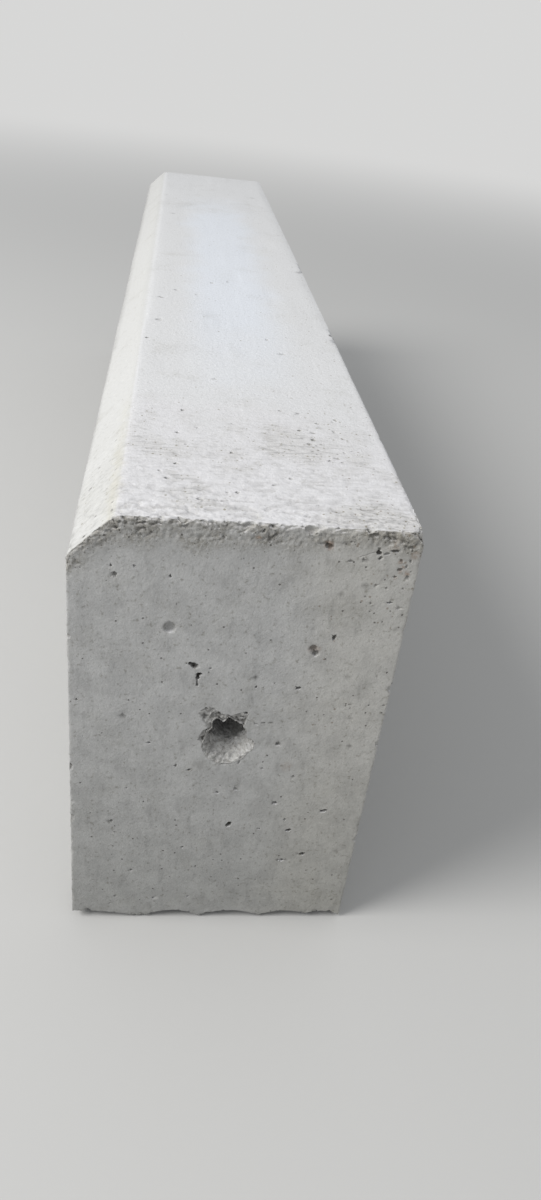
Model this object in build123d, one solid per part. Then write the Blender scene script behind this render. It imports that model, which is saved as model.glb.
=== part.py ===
"""A precast concrete kerb stone with a chamfered road edge and a lifting hole in each end.

Millimetres. The origin is the middle of the bed, the face that the stone stands on.
+X points away from the road, +Y along the stone towards its far end, +Z up.
The near end is the one whose lifting hole has a broken mouth.
"""

import os
from math import atan2, cos, degrees, radians, sin

from build123d import *

# The stone
length = 1000.0
width = 150.0
height = 250.0

# The bevel along the top road-side edge, measured on the top and on the road face
chamfer_on_top = 20.0
chamfer_on_face = 20.0

# How far the cast edges are rounded
chamfer_edge_radius = 3.0
back_top_radius = 3.0
bed_edge_radius = 2.0
end_edge_radius = 1.5

# The blind hole in each end that takes the pin of a kerb lifter
pin_hole_radius = 9.0
pin_hole_depth = 45.0
pin_hole_height = 135.0

# The far hole's mouth is as cast, a plain cone
plain_mouth_radius = 11.5
plain_mouth_depth = 3.0

# Two pieces have broken out of the near hole's rim, a large one below it and a chip above. Their
# outlines on the end face: the direction, in degrees from +X as seen from the front, and the
# distance from the hole's axis. With depth each narrows to a third, which lies inside the hole.
narrow_share = 1 / 3
lower_break_depth = 9.6
lower_break_outline = (
    (10, 6.0),
    (160, 6.0),
    (171, 10.4),
    (196, 11.4),
    (210, 14.0),
    (230, 16.4),
    (247, 18.0),
    (264, 18.9),
    (283, 18.4),
    (300, 17.2),
    (316, 15.6),
    (330, 15.4),
    (343, 13.4),
    (352, 9.9),
)
upper_chip_depth = 8.0
upper_chip_outline = (
    (108, 6.0),
    (109, 9.4),
    (115, 11.0),
    (122, 12.2),
    (130, 12.3),
    (140, 11.0),
    (150, 9.6),
    (151, 6.0),
)

# The bed was struck off by hand in the open top of the mould, so its near edge is wavy:
# where each hollow lies from the road face, its width along the edge, and its height there
hollow_reach = 45.0
bed_hollows = (
    (5.0, 66.0, 3.7),
    (54.5, 32.0, 4.2),
    (86.5, 38.0, 4.0),
    (118.0, 34.0, 3.9),
    (138.5, 26.0, 3.8),
)


def kerb_section() -> Sketch:
    """Draws the cross-section on the XZ plane, with its cast edges rounded."""
    road_x = -width / 2
    back_x = width / 2
    corners = Polyline(
        (road_x, 0),
        (back_x, 0),
        (back_x, height),
        (road_x + chamfer_on_top, height),
        (road_x, height - chamfer_on_face),
        close=True,
    )
    section = make_face(Plane.XZ * corners)
    by_height = section.vertices().group_by(Axis.Z)
    section = fillet(by_height[0], bed_edge_radius)
    chamfer_ends = section.vertices().filter_by(
        lambda corner: corner.X < 0 and corner.Z > height / 2
    )
    section = fillet(chamfer_ends, chamfer_edge_radius)
    back_top = section.vertices().sort_by(lambda corner: corner.X + corner.Z)[-1]
    return fillet(back_top, back_top_radius)


def cast_block() -> Part:
    """Extrudes the section along the stone and rounds the edges of both ends."""
    block = extrude(kerb_section(), amount=length / 2, both=True)
    end_faces = block.faces().filter_by(Axis.Y)
    return fillet(end_faces.edges(), end_edge_radius)


def pin_hole(end: Plane) -> Part:
    """Makes the round blind hole of one end, as a solid to cut away."""
    return extrude(end * Circle(pin_hole_radius), amount=-pin_hole_depth)


def plain_mouth(end: Plane) -> Part:
    """Makes the shallow cone at the mouth of the far hole, as a solid to cut away."""
    rim = end * Circle(plain_mouth_radius)
    throat = end.offset(-plain_mouth_depth) * Circle(pin_hole_radius)
    return loft([rim, throat])


def broken_piece(end: Plane, outline: tuple, depth: float) -> Part:
    """Makes a piece that has broken out of the rim of the near hole, as a solid to cut away.

    outline holds the direction and the distance from the hole's axis of each of its corners. The
    piece narrows evenly towards the axis with depth, so its sides are flat.
    """
    corners = [
        (reach * cos(radians(angle)), reach * sin(radians(angle))) for angle, reach in outline
    ]
    on_face = make_face(Polyline(corners, close=True))
    deep_inside = scale(on_face, by=narrow_share)
    return loft([end * on_face, end.offset(-depth) * deep_inside], ruled=True)


def bed_hollow(from_road: float, span: float, rise: float) -> Part:
    """Makes a shallow scoop under the near edge, a leaning cylinder that runs out under the bed.

    from_road is its middle, measured from the road face. span is its width along the edge, and
    rise is how high it reaches there.
    """
    radius = (span**2 / 4 + rise**2) / (2 * rise)
    lean = degrees(atan2(rise, hollow_reach))
    cylinder = extrude(Plane.XZ * Pos(0, -radius) * Circle(radius), amount=2 * hollow_reach, both=True)
    return Location((from_road - width / 2, -length / 2, rise), (-lean, 0, 0)) * cylinder


near_end = Plane(origin=(0, -length / 2, pin_hole_height), x_dir=(1, 0, 0), z_dir=(0, -1, 0))
far_end = Plane(origin=(0, length / 2, pin_hole_height), x_dir=(-1, 0, 0), z_dir=(0, 1, 0))

kerb_stone = cast_block()
kerb_stone -= pin_hole(near_end)
kerb_stone -= broken_piece(near_end, lower_break_outline, lower_break_depth)
kerb_stone -= broken_piece(near_end, upper_chip_outline, upper_chip_depth)
kerb_stone -= pin_hole(far_end) + plain_mouth(far_end)
for from_road, span, rise in bed_hollows:
    kerb_stone -= bed_hollow(from_road, span, rise)

os.makedirs("parts", exist_ok=True)
export_step(kerb_stone, "parts/kerb_stone.step")
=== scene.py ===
"""The precast concrete kerb stone: its worn skin, its concrete and a plain studio around it.

Metres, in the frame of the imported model. The origin is the middle of the bed, +X points away from
the road, +Y along the stone away from the end that the camera faces, and +Z up. Places on the
stone are measured in millimetres from its road face, its near end and its bed.
"""

from __future__ import annotations

import logging
import math
import random
from dataclasses import dataclass
from enum import Enum
from typing import TypeAlias

import bmesh
import bpy
import numpy as np
from mathutils import Matrix, Vector, noise

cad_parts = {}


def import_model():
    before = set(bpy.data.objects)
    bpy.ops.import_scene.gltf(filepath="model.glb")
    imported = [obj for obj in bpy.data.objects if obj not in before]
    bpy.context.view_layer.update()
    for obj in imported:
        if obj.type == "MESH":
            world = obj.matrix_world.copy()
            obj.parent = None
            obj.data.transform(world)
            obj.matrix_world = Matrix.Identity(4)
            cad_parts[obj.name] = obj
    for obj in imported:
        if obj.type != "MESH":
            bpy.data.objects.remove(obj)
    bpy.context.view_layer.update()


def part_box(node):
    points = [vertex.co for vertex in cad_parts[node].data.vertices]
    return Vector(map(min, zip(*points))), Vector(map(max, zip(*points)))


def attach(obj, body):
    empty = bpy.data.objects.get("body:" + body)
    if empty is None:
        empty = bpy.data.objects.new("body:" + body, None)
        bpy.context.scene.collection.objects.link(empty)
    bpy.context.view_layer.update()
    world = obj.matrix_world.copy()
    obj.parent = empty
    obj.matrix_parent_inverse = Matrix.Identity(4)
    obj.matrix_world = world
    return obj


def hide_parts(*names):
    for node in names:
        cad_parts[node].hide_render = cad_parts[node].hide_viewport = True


MM = 0.001
NODE = "kerb_stone"
# These set the three directions of a crumb apart.
CRUMB_SEEDS = (0.0, 101.3, 202.9)
# These keep a division away from zero. The second is in millimetres.
SMALLEST = 1e-12
SMALLEST_GAP = 1e-6

Wavelength = float | tuple[float, float, float]

log = logging.getLogger("kerb_stone")


def sample_noise(points: np.ndarray, wavelength: Wavelength, seed: float) -> np.ndarray:
    """Samples smooth noise, from about -1 to 1, at every point.

    Args:
        points: One row of x, y and z for each point, in metres.
        wavelength: The size of the pattern in millimetres, the same along all axes or one for each.
        seed: Moves the pattern, so that two patterns of one size differ.

    Returns:
        One value for each point.
    """
    shift = Vector((seed, -2.3 * seed, 5.1 * seed))
    scaled = points / (np.asarray(wavelength) * MM)
    return np.array([noise.noise(Vector(point) + shift) for point in scaled])


def sample_crumbs(points: np.ndarray, wavelength: float, seed: float) -> np.ndarray:
    """Samples noise that points in all directions, for crumbled surfaces.

    Args:
        points: One row of x, y and z for each point, in metres.
        wavelength: The size of the crumbs in millimetres.
        seed: Moves the pattern.

    Returns:
        One vector for each point.
    """
    directions = [sample_noise(points, wavelength, seed + apart) for apart in CRUMB_SEEDS]
    return np.column_stack(directions)


def smooth_step(value: np.ndarray, start: float, end: float) -> np.ndarray:
    """Rises smoothly from 0 at start to 1 at end.

    Args:
        value: The values to map.
        start: Where the result leaves 0.
        end: Where the result reaches 1. It may be less than start.

    Returns:
        One weight from 0 to 1 for each value.
    """
    share = np.clip((value - start) / (end - start), 0.0, 1.0)
    return share * share * (3.0 - 2.0 * share)


@dataclass(frozen=True)
class Side:
    """One flat side of the stone.

    Attributes:
        corner: The point that places on this side are measured from, in metres.
        across: The direction of the first coordinate of a place.
        along: The direction of the second coordinate.
        inward: The direction into the concrete.
    """

    corner: Vector
    across: Vector
    along: Vector
    inward: Vector

    def place(self, across_mm: float, along_mm: float) -> Vector:
        """Finds a place on the side.

        Args:
            across_mm: Its distance from the corner along the first direction, in millimetres.
            along_mm: Its distance along the second.

        Returns:
            The point, in metres.
        """
        return self.corner + (self.across * across_mm + self.along * along_mm) * MM

    def depth(self, points: np.ndarray) -> np.ndarray:
        """Measures how far points lie behind the side's plane.

        Args:
            points: One row for each point, in metres.

        Returns:
            Their depths in metres.
        """
        return (points - np.array(self.corner)) @ np.array(self.inward)

    def spots(self, points: np.ndarray) -> tuple[np.ndarray, np.ndarray]:
        """Measures where points lie on the side.

        Args:
            points: One row for each point, in metres.

        Returns:
            Their first and their second coordinates, in millimetres.
        """
        offset = (points - np.array(self.corner)) / MM
        return offset @ np.array(self.across), offset @ np.array(self.along)


class Where(Enum):
    """The seven sides of the stone, by the names that a kerb layer uses."""

    NEAR_END = "near end"
    FAR_END = "far end"
    TOP = "top"
    CHAMFER = "chamfer"
    ROAD_FACE = "road face"
    BACK = "back"
    BED = "bed"


@dataclass(frozen=True)
class CastForm:
    """The form as it left the mould: a straight block with one chamfered edge and rounded edges.

    Attributes:
        low: The lowest corner of the stone's box.
        high: The highest corner.
        chamfer_on_top: How wide the chamfer is, measured on the top.
        chamfer_on_face: How far it runs down the road face.
        foot_radius: Rounding where the chamfer meets the road face.
        crest_softness: How softly the chamfer turns into the top.
        back_radius: Rounding between the top and the back.
        bed_radius: Rounding along the bed.
        end_radius: Rounding round both ends.
        skew: How the chamfer's slope dies out down the ends: the power of the height.
    """

    low: Vector
    high: Vector
    chamfer_on_top: float = 20 * MM
    chamfer_on_face: float = 20 * MM
    foot_radius: float = 3 * MM
    crest_softness: float = 1.6 * MM
    back_radius: float = 3 * MM
    bed_radius: float = 2 * MM
    end_radius: float = 1.2 * MM
    skew: float = 4.0

    @property
    def middle(self) -> float:
        """The distance from a side of the stone to its middle plane, in millimetres."""
        return (self.high.x - self.low.x) / 2 / MM

    def sides(self) -> dict[Where, Side]:
        """Describes each side of the stone.

        Returns:
            The sides by name.
        """
        x_axis = Vector((1, 0, 0))
        y_axis = Vector((0, 1, 0))
        z_axis = Vector((0, 0, 1))
        slope = Vector((self.chamfer_on_top, 0, self.chamfer_on_face)).normalized()
        into_slope = Vector((self.chamfer_on_face, 0, -self.chamfer_on_top)).normalized()
        foot = self.low + z_axis * (self.high.z - self.low.z - self.chamfer_on_face)
        top_corner = Vector((self.low.x, self.low.y, self.high.z))
        back_corner = Vector((self.high.x, self.low.y, self.low.z))
        far_corner = Vector((self.low.x, self.high.y, self.low.z))
        return {
            Where.NEAR_END: Side(self.low, x_axis, z_axis, y_axis),
            Where.FAR_END: Side(far_corner, x_axis, z_axis, -y_axis),
            Where.TOP: Side(top_corner, x_axis, y_axis, -z_axis),
            Where.CHAMFER: Side(foot, slope, y_axis, into_slope),
            Where.ROAD_FACE: Side(self.low, z_axis, y_axis, x_axis),
            Where.BACK: Side(back_corner, z_axis, y_axis, -x_axis),
            Where.BED: Side(self.low, x_axis, y_axis, z_axis),
        }

    def round_section(self, points: np.ndarray) -> np.ndarray:
        """Rounds the four long edges of the plain block.

        A square patch at each corner of the section is drawn in to a round one, so the points of
        the ends move with those of the edge.

        Args:
            points: Points on the plain block.

        Returns:
            The points with the long edges rounded.
        """
        out = points.copy()
        corners = (
            (self.low.x, self.low.z, self.bed_radius),
            (self.high.x, self.low.z, self.bed_radius),
            (self.low.x, self.high.z, self.foot_radius),
            (self.high.x, self.high.z, self.back_radius),
        )
        for corner_x, corner_z, radius in corners:
            out_x = math.copysign(1, corner_x)
            out_z = -1.0 if corner_z == self.low.z else 1.0
            off_x = (points[:, 0] - corner_x) * out_x + radius
            off_z = (points[:, 2] - corner_z) * out_z + radius
            inside = (off_x > 0) & (off_z > 0)
            reach = np.maximum(off_x, off_z)[inside]
            shrink = reach / np.maximum(np.hypot(off_x, off_z)[inside], SMALLEST)
            out[inside, 0] = corner_x + out_x * (off_x[inside] * shrink - radius)
            out[inside, 2] = corner_z + out_z * (off_z[inside] * shrink - radius)
        return out

    def round_ends(self, points: np.ndarray) -> np.ndarray:
        """Rounds the edges of both ends of the block.

        Args:
            points: Points of the block with its long edges rounded.

        Returns:
            The points with the edges of the ends rounded too.
        """
        out = points.copy()
        walls = (
            (0, self.low.x, 1.0),
            (0, self.high.x, -1.0),
            (2, self.low.z, 1.0),
            (2, self.high.z, -1.0),
        )
        for end_y, into_end in ((self.low.y, 1.0), (self.high.y, -1.0)):
            behind = (points[:, 1] - end_y) * into_end
            for axis, wall, into_wall in walls:
                within = (points[:, axis] - wall) * into_wall
                rounded = (behind < self.end_radius) & (within < self.end_radius)
                off_y = self.end_radius - behind[rounded]
                off_wall = self.end_radius - within[rounded]
                reach = np.maximum(off_y, off_wall)
                shrink = reach / np.maximum(np.hypot(off_y, off_wall), SMALLEST)
                out[rounded, 1] = end_y + into_end * (self.end_radius - off_y * shrink)
                out[rounded, axis] = wall + into_wall * (self.end_radius - off_wall * shrink)
        return out

    def chamfered(self, points: np.ndarray) -> np.ndarray:
        """Sinks the block's road edge to the chamfer.

        Args:
            points: Points of the plain or the rounded block.

        Returns:
            The points, lowered by most at the top of the road face and not at all on the bed.
        """
        out = points.copy()
        before_crest = 1.0 - (points[:, 0] - self.low.x) / self.chamfer_on_top
        softness = self.crest_softness / self.chamfer_on_top
        drop = (before_crest + np.sqrt(before_crest**2 + softness**2)) / 2
        level = (points[:, 2] - self.low.z) / (self.high.z - self.low.z)
        out[:, 2] -= self.chamfer_on_face * drop * level**self.skew
        return out

    def cast(self, points: np.ndarray) -> np.ndarray:
        """Takes points from the plain block to the cast form.

        Args:
            points: Points on the plain block.

        Returns:
            The same points on the cast form.
        """
        return self.chamfered(self.round_ends(self.round_section(points)))


@dataclass(frozen=True)
class AirHole:
    """A void that an air bubble left in a cast side, or a shallow flake out of it.

    Attributes:
        side: The side that it lies on.
        across: Its place along the side's first direction, in millimetres.
        along: Its place along the second.
        width: Its size along the first direction, in millimetres.
        height: Its size along the second.
        depth: How deep it is, in millimetres.
        turn: How far it is turned on the side, in degrees.
        dark: How dark the shade painted into its inside is, from 0 to 1.
        ragged: How ragged its outline is, from 0 for a plain ellipse to 1.
    """

    side: Where
    across: float
    along: float
    width: float
    height: float
    depth: float
    turn: float = 0.0
    dark: float = 0.7
    ragged: float = 1.0

    @property
    def reach(self) -> float:
        """The distance from its middle that it can touch, in metres."""
        return (0.62 * max(self.width, self.height) + 0.1) * MM


def near_end_holes() -> list[AirHole]:
    """Lists the voids of the near end as they are seen on it.

    Returns:
        The voids, each with its place across and above the bed, its size and its depth.
    """
    end = Where.NEAR_END
    return [
        # The round pit in the upper half.
        AirHole(end, 44.7, 196.0, 5.6, 6.0, 1.5, dark=0.3, ragged=0.2),
        # The two deep voids above the pin hole, and small ones near them.
        AirHole(end, 55.3, 176.5, 3.6, 2.2, 2.2, turn=-10, dark=1.0),
        AirHole(end, 57.0, 175.5, 2.8, 3.0, 2.2, turn=15, dark=1.0),
        AirHole(end, 59.2, 170.8, 3.2, 1.8, 2.0, turn=12, dark=1.0),
        AirHole(end, 58.6, 168.9, 1.7, 3.2, 2.2, turn=-6, dark=1.0),
        AirHole(end, 58.7, 164.5, 1.3, 1.3, 1.2),
        AirHole(end, 64.0, 174.3, 1.1, 1.1, 0.9, dark=0.5),
        AirHole(end, 85.3, 170.0, 1.2, 1.2, 1.0),
        AirHole(end, 85.8, 164.5, 1.2, 1.2, 1.0),
        # Between the pin hole and the back.
        AirHole(end, 105.5, 164.8, 2.6, 1.7, 1.7, turn=20, dark=1.0),
        AirHole(end, 109.4, 188.0, 3.8, 3.0, 1.5, turn=30, dark=0.35),
        AirHole(end, 110.9, 185.2, 3.2, 3.6, 1.9, turn=-20, dark=0.5),
        AirHole(end, 118.0, 194.2, 1.6, 2.8, 1.8, turn=-10),
        AirHole(end, 139.8, 214.2, 2.4, 1.2, 1.0, turn=12),
        AirHole(end, 133.7, 207.3, 1.2, 1.2, 1.0),
        AirHole(end, 145.2, 227.6, 1.6, 2.0, 0.9, turn=15, dark=0.5),
        # In the porous band under the upper edge.
        AirHole(end, 109.1, 240.8, 3.4, 2.6, 1.4, turn=-25, dark=0.75),
        AirHole(end, 106.6, 241.9, 3.6, 1.8, 0.6, dark=0.25),
        AirHole(end, 137.5, 240.1, 3.8, 1.4, 1.0, turn=-3, dark=0.75),
        # Under the chamfer.
        AirHole(end, 20.5, 222.0, 2.2, 2.4, 1.2, dark=0.6),
        AirHole(end, 19.0, 226.0, 1.3, 1.0, 0.9, dark=0.6),
        AirHole(end, 43.7, 222.0, 1.2, 1.2, 1.0),
        AirHole(end, 34.8, 222.0, 1.1, 0.9, 0.8, dark=0.5),
        AirHole(end, 28.5, 226.5, 1.0, 1.0, 0.8, dark=0.5),
        AirHole(end, 22.5, 218.8, 1.2, 0.9, 0.8, dark=0.5),
        AirHole(end, 32.5, 178.2, 1.8, 1.4, 1.0, dark=0.6),
        # Round the pin hole.
        AirHole(end, 38.0, 128.5, 1.5, 1.4, 1.2),
        AirHole(end, 25.0, 145.2, 1.4, 1.2, 1.0, dark=0.6),
        AirHole(end, 51.2, 114.3, 1.6, 1.3, 1.2),
        AirHole(end, 58.0, 111.7, 1.7, 1.5, 1.4),
        AirHole(end, 90.0, 111.2, 1.4, 1.2, 1.1),
        AirHole(end, 94.0, 113.6, 1.1, 1.0, 0.8, dark=0.5),
        AirHole(end, 99.5, 129.7, 1.6, 1.4, 1.3),
        AirHole(end, 110.0, 108.3, 1.7, 1.4, 1.3),
        # The lower half.
        AirHole(end, 73.0, 96.7, 1.4, 1.3, 1.1, dark=0.6),
        AirHole(end, 82.0, 99.2, 2.2, 2.0, 0.7, dark=0.3),
        AirHole(end, 103.0, 90.0, 2.2, 2.0, 1.7, dark=0.9),
        AirHole(end, 128.7, 85.0, 3.6, 2.0, 1.8, turn=22, dark=0.9),
        AirHole(end, 80.5, 74.2, 2.4, 4.6, 2.0, turn=-35, dark=0.9),
        AirHole(end, 112.2, 70.3, 3.0, 2.0, 1.5, turn=10, dark=0.9),
        AirHole(end, 109.3, 78.3, 1.4, 1.4, 1.0, dark=0.6),
        AirHole(end, 96.7, 71.2, 1.3, 1.0, 0.9, dark=0.6),
        AirHole(end, 99.3, 72.4, 1.1, 1.0, 0.8, dark=0.6),
        AirHole(end, 121.7, 52.2, 3.3, 2.1, 1.8, turn=8, dark=0.9),
        AirHole(end, 111.2, 47.3, 2.4, 1.9, 1.4, dark=0.7),
        AirHole(end, 20.8, 75.3, 1.7, 1.4, 1.2, dark=0.7),
        AirHole(end, 57.8, 56.3, 1.4, 1.3, 1.1, dark=0.6),
        AirHole(end, 31.7, 38.3, 1.4, 1.3, 0.9, dark=0.5),
        AirHole(end, 44.2, 15.5, 1.7, 1.5, 1.3),
        AirHole(end, 62.8, 16.2, 1.5, 1.3, 1.1, dark=0.6),
        AirHole(end, 23.3, 16.7, 1.4, 1.3, 0.9, dark=0.5),
        AirHole(end, 139.5, 55.3, 1.2, 1.2, 1.0, dark=0.6),
        # The crumbled upper corner on the back's side.
        AirHole(end, 130.6, 240.7, 1.5, 1.6, 0.8, turn=20, dark=0.5),
        AirHole(end, 130.8, 238.9, 2.8, 1.9, 1.2, turn=-25, dark=0.8),
        AirHole(end, 134.0, 238.7, 2.8, 1.4, 0.8, turn=15, dark=0.5),
        AirHole(end, 131.8, 236.4, 1.4, 2.0, 0.9, turn=-30, dark=0.65),
        AirHole(end, 124.6, 235.3, 1.1, 1.7, 0.7, turn=30, dark=0.4),
        AirHole(end, 119.0, 234.2, 2.4, 1.2, 0.6, dark=0.3),
        AirHole(end, 141.0, 235.8, 2.0, 1.2, 0.7, turn=-35, dark=0.4),
        AirHole(end, 145.0, 235.6, 1.1, 2.0, 0.7, turn=10, dark=0.4),
        AirHole(end, 141.2, 231.3, 2.6, 1.9, 0.9, turn=15, dark=0.5),
        AirHole(end, 143.8, 232.8, 1.2, 1.8, 0.6, dark=0.35),
        AirHole(end, 139.6, 227.6, 1.6, 1.1, 0.8, dark=0.4),
        AirHole(end, 144.4, 211.6, 1.6, 1.8, 0.6, dark=0.3),
    ]


def top_holes() -> list[AirHole]:
    """Lists the larger pits of the top as they are seen on it.

    Returns:
        The pits, each with its place from the road face and behind the near end.
    """
    top = Where.TOP
    return [
        # The worn near part.
        AirHole(top, 44.6, 90.1, 2.0, 2.2, 0.9, dark=0.5),
        AirHole(top, 47.0, 120.5, 1.9, 2.4, 0.9, dark=0.5),
        AirHole(top, 98.8, 129.5, 1.8, 2.2, 0.9, dark=0.5),
        AirHole(top, 54.7, 19.7, 3.4, 1.8, 0.9, turn=-8, dark=0.5),
        AirHole(top, 65.0, 19.5, 4.2, 1.4, 0.7, turn=5, dark=0.35),
        AirHole(top, 40.3, 38.3, 2.0, 1.6, 0.8, dark=0.4),
        AirHole(top, 127.6, 122.0, 1.6, 3.4, 0.9, turn=15, dark=0.45),
        AirHole(top, 113.4, 102.0, 3.0, 1.8, 0.9, turn=-10, dark=0.45),
        AirHole(top, 109.8, 87.4, 2.6, 2.0, 0.9, turn=10, dark=0.5),
        AirHole(top, 121.2, 71.8, 3.0, 2.2, 0.9, turn=-15, dark=0.5),
        AirHole(top, 112.6, 93.0, 2.4, 2.6, 1.1, dark=0.6),
        AirHole(top, 44.0, 54.0, 1.8, 2.0, 0.9, dark=0.4),
        AirHole(top, 71.0, 28.0, 1.9, 2.1, 0.9, dark=0.4),
        # Farther along, where the top is smooth.
        AirHole(top, 24.4, 242.0, 2.4, 3.0, 1.2, dark=0.6),
        AirHole(top, 109.3, 230.0, 3.4, 3.0, 1.0, turn=-10, dark=0.45),
        AirHole(top, 101.7, 258.4, 1.8, 2.6, 0.9, dark=0.4),
        AirHole(top, 65.5, 172.7, 1.4, 1.8, 0.7, dark=0.35),
        AirHole(top, 67.5, 535.0, 2.6, 3.6, 1.5),
        AirHole(top, 69.0, 399.0, 2.2, 3.2, 1.3),
        AirHole(top, 30.8, 284.5, 3.4, 4.6, 1.0, turn=30, dark=0.35),
        AirHole(top, 148.5, 281.0, 4.0, 7.0, 1.6, dark=0.4),
    ]


def edge_chips() -> list[AirHole]:
    """Lists the chips that are knocked out of the near end's upright edges.

    Returns:
        The chips.
    """
    end = Where.NEAR_END
    return [
        # The edge of the road face.
        AirHole(end, 0.6, 112.2, 2.8, 4.8, 1.4, dark=1.0),
        AirHole(end, 0.6, 189.2, 2.6, 2.4, 1.5, dark=0.75),
        AirHole(end, 0.9, 88.0, 2.6, 3.2, 0.5, dark=0.1),
        AirHole(end, 0.6, 77.0, 3.2, 6.5, 0.6, dark=0.15),
        AirHole(end, 0.4, 60.0, 1.8, 4.0, 0.5, dark=0.1),
        # The edge of the back.
        AirHole(end, 149.6, 166.0, 3.2, 4.0, 1.6, dark=0.2),
        AirHole(end, 149.0, 132.0, 2.4, 4.0, 1.0, dark=0.1),
        AirHole(end, 149.4, 64.0, 2.8, 5.0, 1.2, dark=0.1),
    ]


@dataclass(frozen=True)
class Scatter:
    """Air holes strewn over one side.

    Attributes:
        side: The side that they lie on.
        across: The lowest and highest place along the side's first direction, in millimetres.
        along: The lowest and highest place along the second.
        count: How many there are.
        smallest: The smallest size, in millimetres.
        largest: The largest size. Small ones are much more common.
        deep: Depth as a share of the size.
        seed: The draw's seed.
    """

    side: Where
    across: tuple[float, float]
    along: tuple[float, float]
    count: int
    smallest: float
    largest: float
    deep: float
    seed: int

    def holes(self) -> list[AirHole]:
        """Draws the holes.

        Returns:
            The holes, the same in each run.
        """
        draw = random.Random(self.seed)
        drawn = []
        for _ in range(self.count):
            size = self.smallest + (self.largest - self.smallest) * draw.random() ** 3.0
            drawn.append(
                AirHole(
                    side=self.side,
                    across=draw.uniform(*self.across),
                    along=draw.uniform(*self.along),
                    width=size * draw.uniform(0.8, 1.1),
                    height=size * draw.uniform(0.8, 1.25),
                    depth=size * self.deep * draw.uniform(0.7, 1.1),
                    turn=draw.uniform(-90, 90),
                    dark=draw.uniform(0.3, 0.75),
                )
            )
        return drawn


SCATTERS = (
    Scatter(Where.ROAD_FACE, (6, 224), (8, 992), 52, 2.2, 7.0, 0.45, 11),
    Scatter(Where.BACK, (6, 244), (8, 992), 56, 2.2, 7.5, 0.45, 12),
    Scatter(Where.FAR_END, (6, 144), (6, 226), 26, 2.0, 5.0, 0.45, 13),
    Scatter(Where.TOP, (26, 146), (20, 110), 16, 1.2, 2.0, 0.4, 14),
    Scatter(Where.TOP, (26, 146), (300, 990), 20, 1.6, 3.2, 0.4, 15),
    Scatter(Where.TOP, (106, 130), (64, 128), 20, 1.2, 2.2, 0.45, 16),
    Scatter(Where.CHAMFER, (4, 25), (4, 90), 9, 1.2, 2.0, 0.4, 17),
    Scatter(Where.NEAR_END, (126, 149), (140, 240), 26, 0.8, 1.5, 0.35, 18),
    Scatter(Where.NEAR_END, (4, 146), (4, 234), 20, 0.9, 1.3, 0.5, 20),
    Scatter(Where.BED, (6, 144), (60, 990), 16, 3.0, 9.0, 0.25, 21),
)


@dataclass(frozen=True)
class Crack:
    """A hairline crack in one side.

    Attributes:
        side: The side that it runs over.
        path: Its bends, as places on the side in millimetres.
        width: Its width in millimetres.
        depth: Its depth in millimetres.
        dark: How dark the shade painted into it is, from 0 to 1.
    """

    side: Where
    path: tuple[tuple[float, float], ...]
    width: float
    depth: float
    dark: float


CRACKS = (
    Crack(Where.NEAR_END, ((83.8, 144.6), (86.2, 143.4), (88.0, 142.4)), 0.7, 0.25, 0.2),
    Crack(Where.NEAR_END, ((123.0, 236.6), (126.5, 238.2), (129.4, 239.3)), 0.7, 0.25, 0.2),
)


@dataclass(frozen=True)
class Stain:
    """A rust or clay stain.

    Attributes:
        side: The side that it lies on.
        across: Its place along the side's first direction, in millimetres.
        along: Its place along the second.
        size: How wide it is, in millimetres.
        strength: How strong it is, from 0 to 1.
    """

    side: Where
    across: float
    along: float
    size: float
    strength: float


STAINS = (
    Stain(Where.NEAR_END, 140.5, 235.2, 2.4, 0.9),
    Stain(Where.NEAR_END, 142.2, 232.6, 2.0, 0.7),
    Stain(Where.NEAR_END, 144.5, 229.5, 3.2, 0.8),
    Stain(Where.NEAR_END, 141.4, 230.4, 2.2, 0.6),
    Stain(Where.NEAR_END, 140.0, 227.0, 1.8, 0.6),
    Stain(Where.NEAR_END, 146.5, 238.5, 4.5, 0.5),
    Stain(Where.NEAR_END, 137.5, 243.0, 5.0, 0.4),
    Stain(Where.NEAR_END, 108.8, 241.3, 5.0, 0.9),
    Stain(Where.NEAR_END, 79.0, 243.0, 2.4, 0.8),
    Stain(Where.NEAR_END, 109.8, 187.0, 6.0, 0.45),
    Stain(Where.NEAR_END, 106.0, 116.0, 7.0, 0.25),
)


@dataclass(frozen=True)
class Wear:
    """Wear along the edge between two sides: it is cut back a little all along, and chipped.

    Attributes:
        first: One side of the edge.
        second: The other side.
        base: How far the edge is cut back all along, in millimetres.
        chips: How far the deepest chips go beyond that.
        size: The length of a chip along the edge.
        seed: Sets the pattern of chips apart.
        lean: How much further the wear reaches along the second side than along the first.
        soft: How softly the worn skin runs out into the two sides, in millimetres.
        torn: How much broken concrete shows on it, from 0 to 1.
    """

    first: Where
    second: Where
    base: float
    chips: float
    size: float
    seed: float
    lean: float = 1.0
    soft: float = 0.4
    torn: float = 1.0


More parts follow.
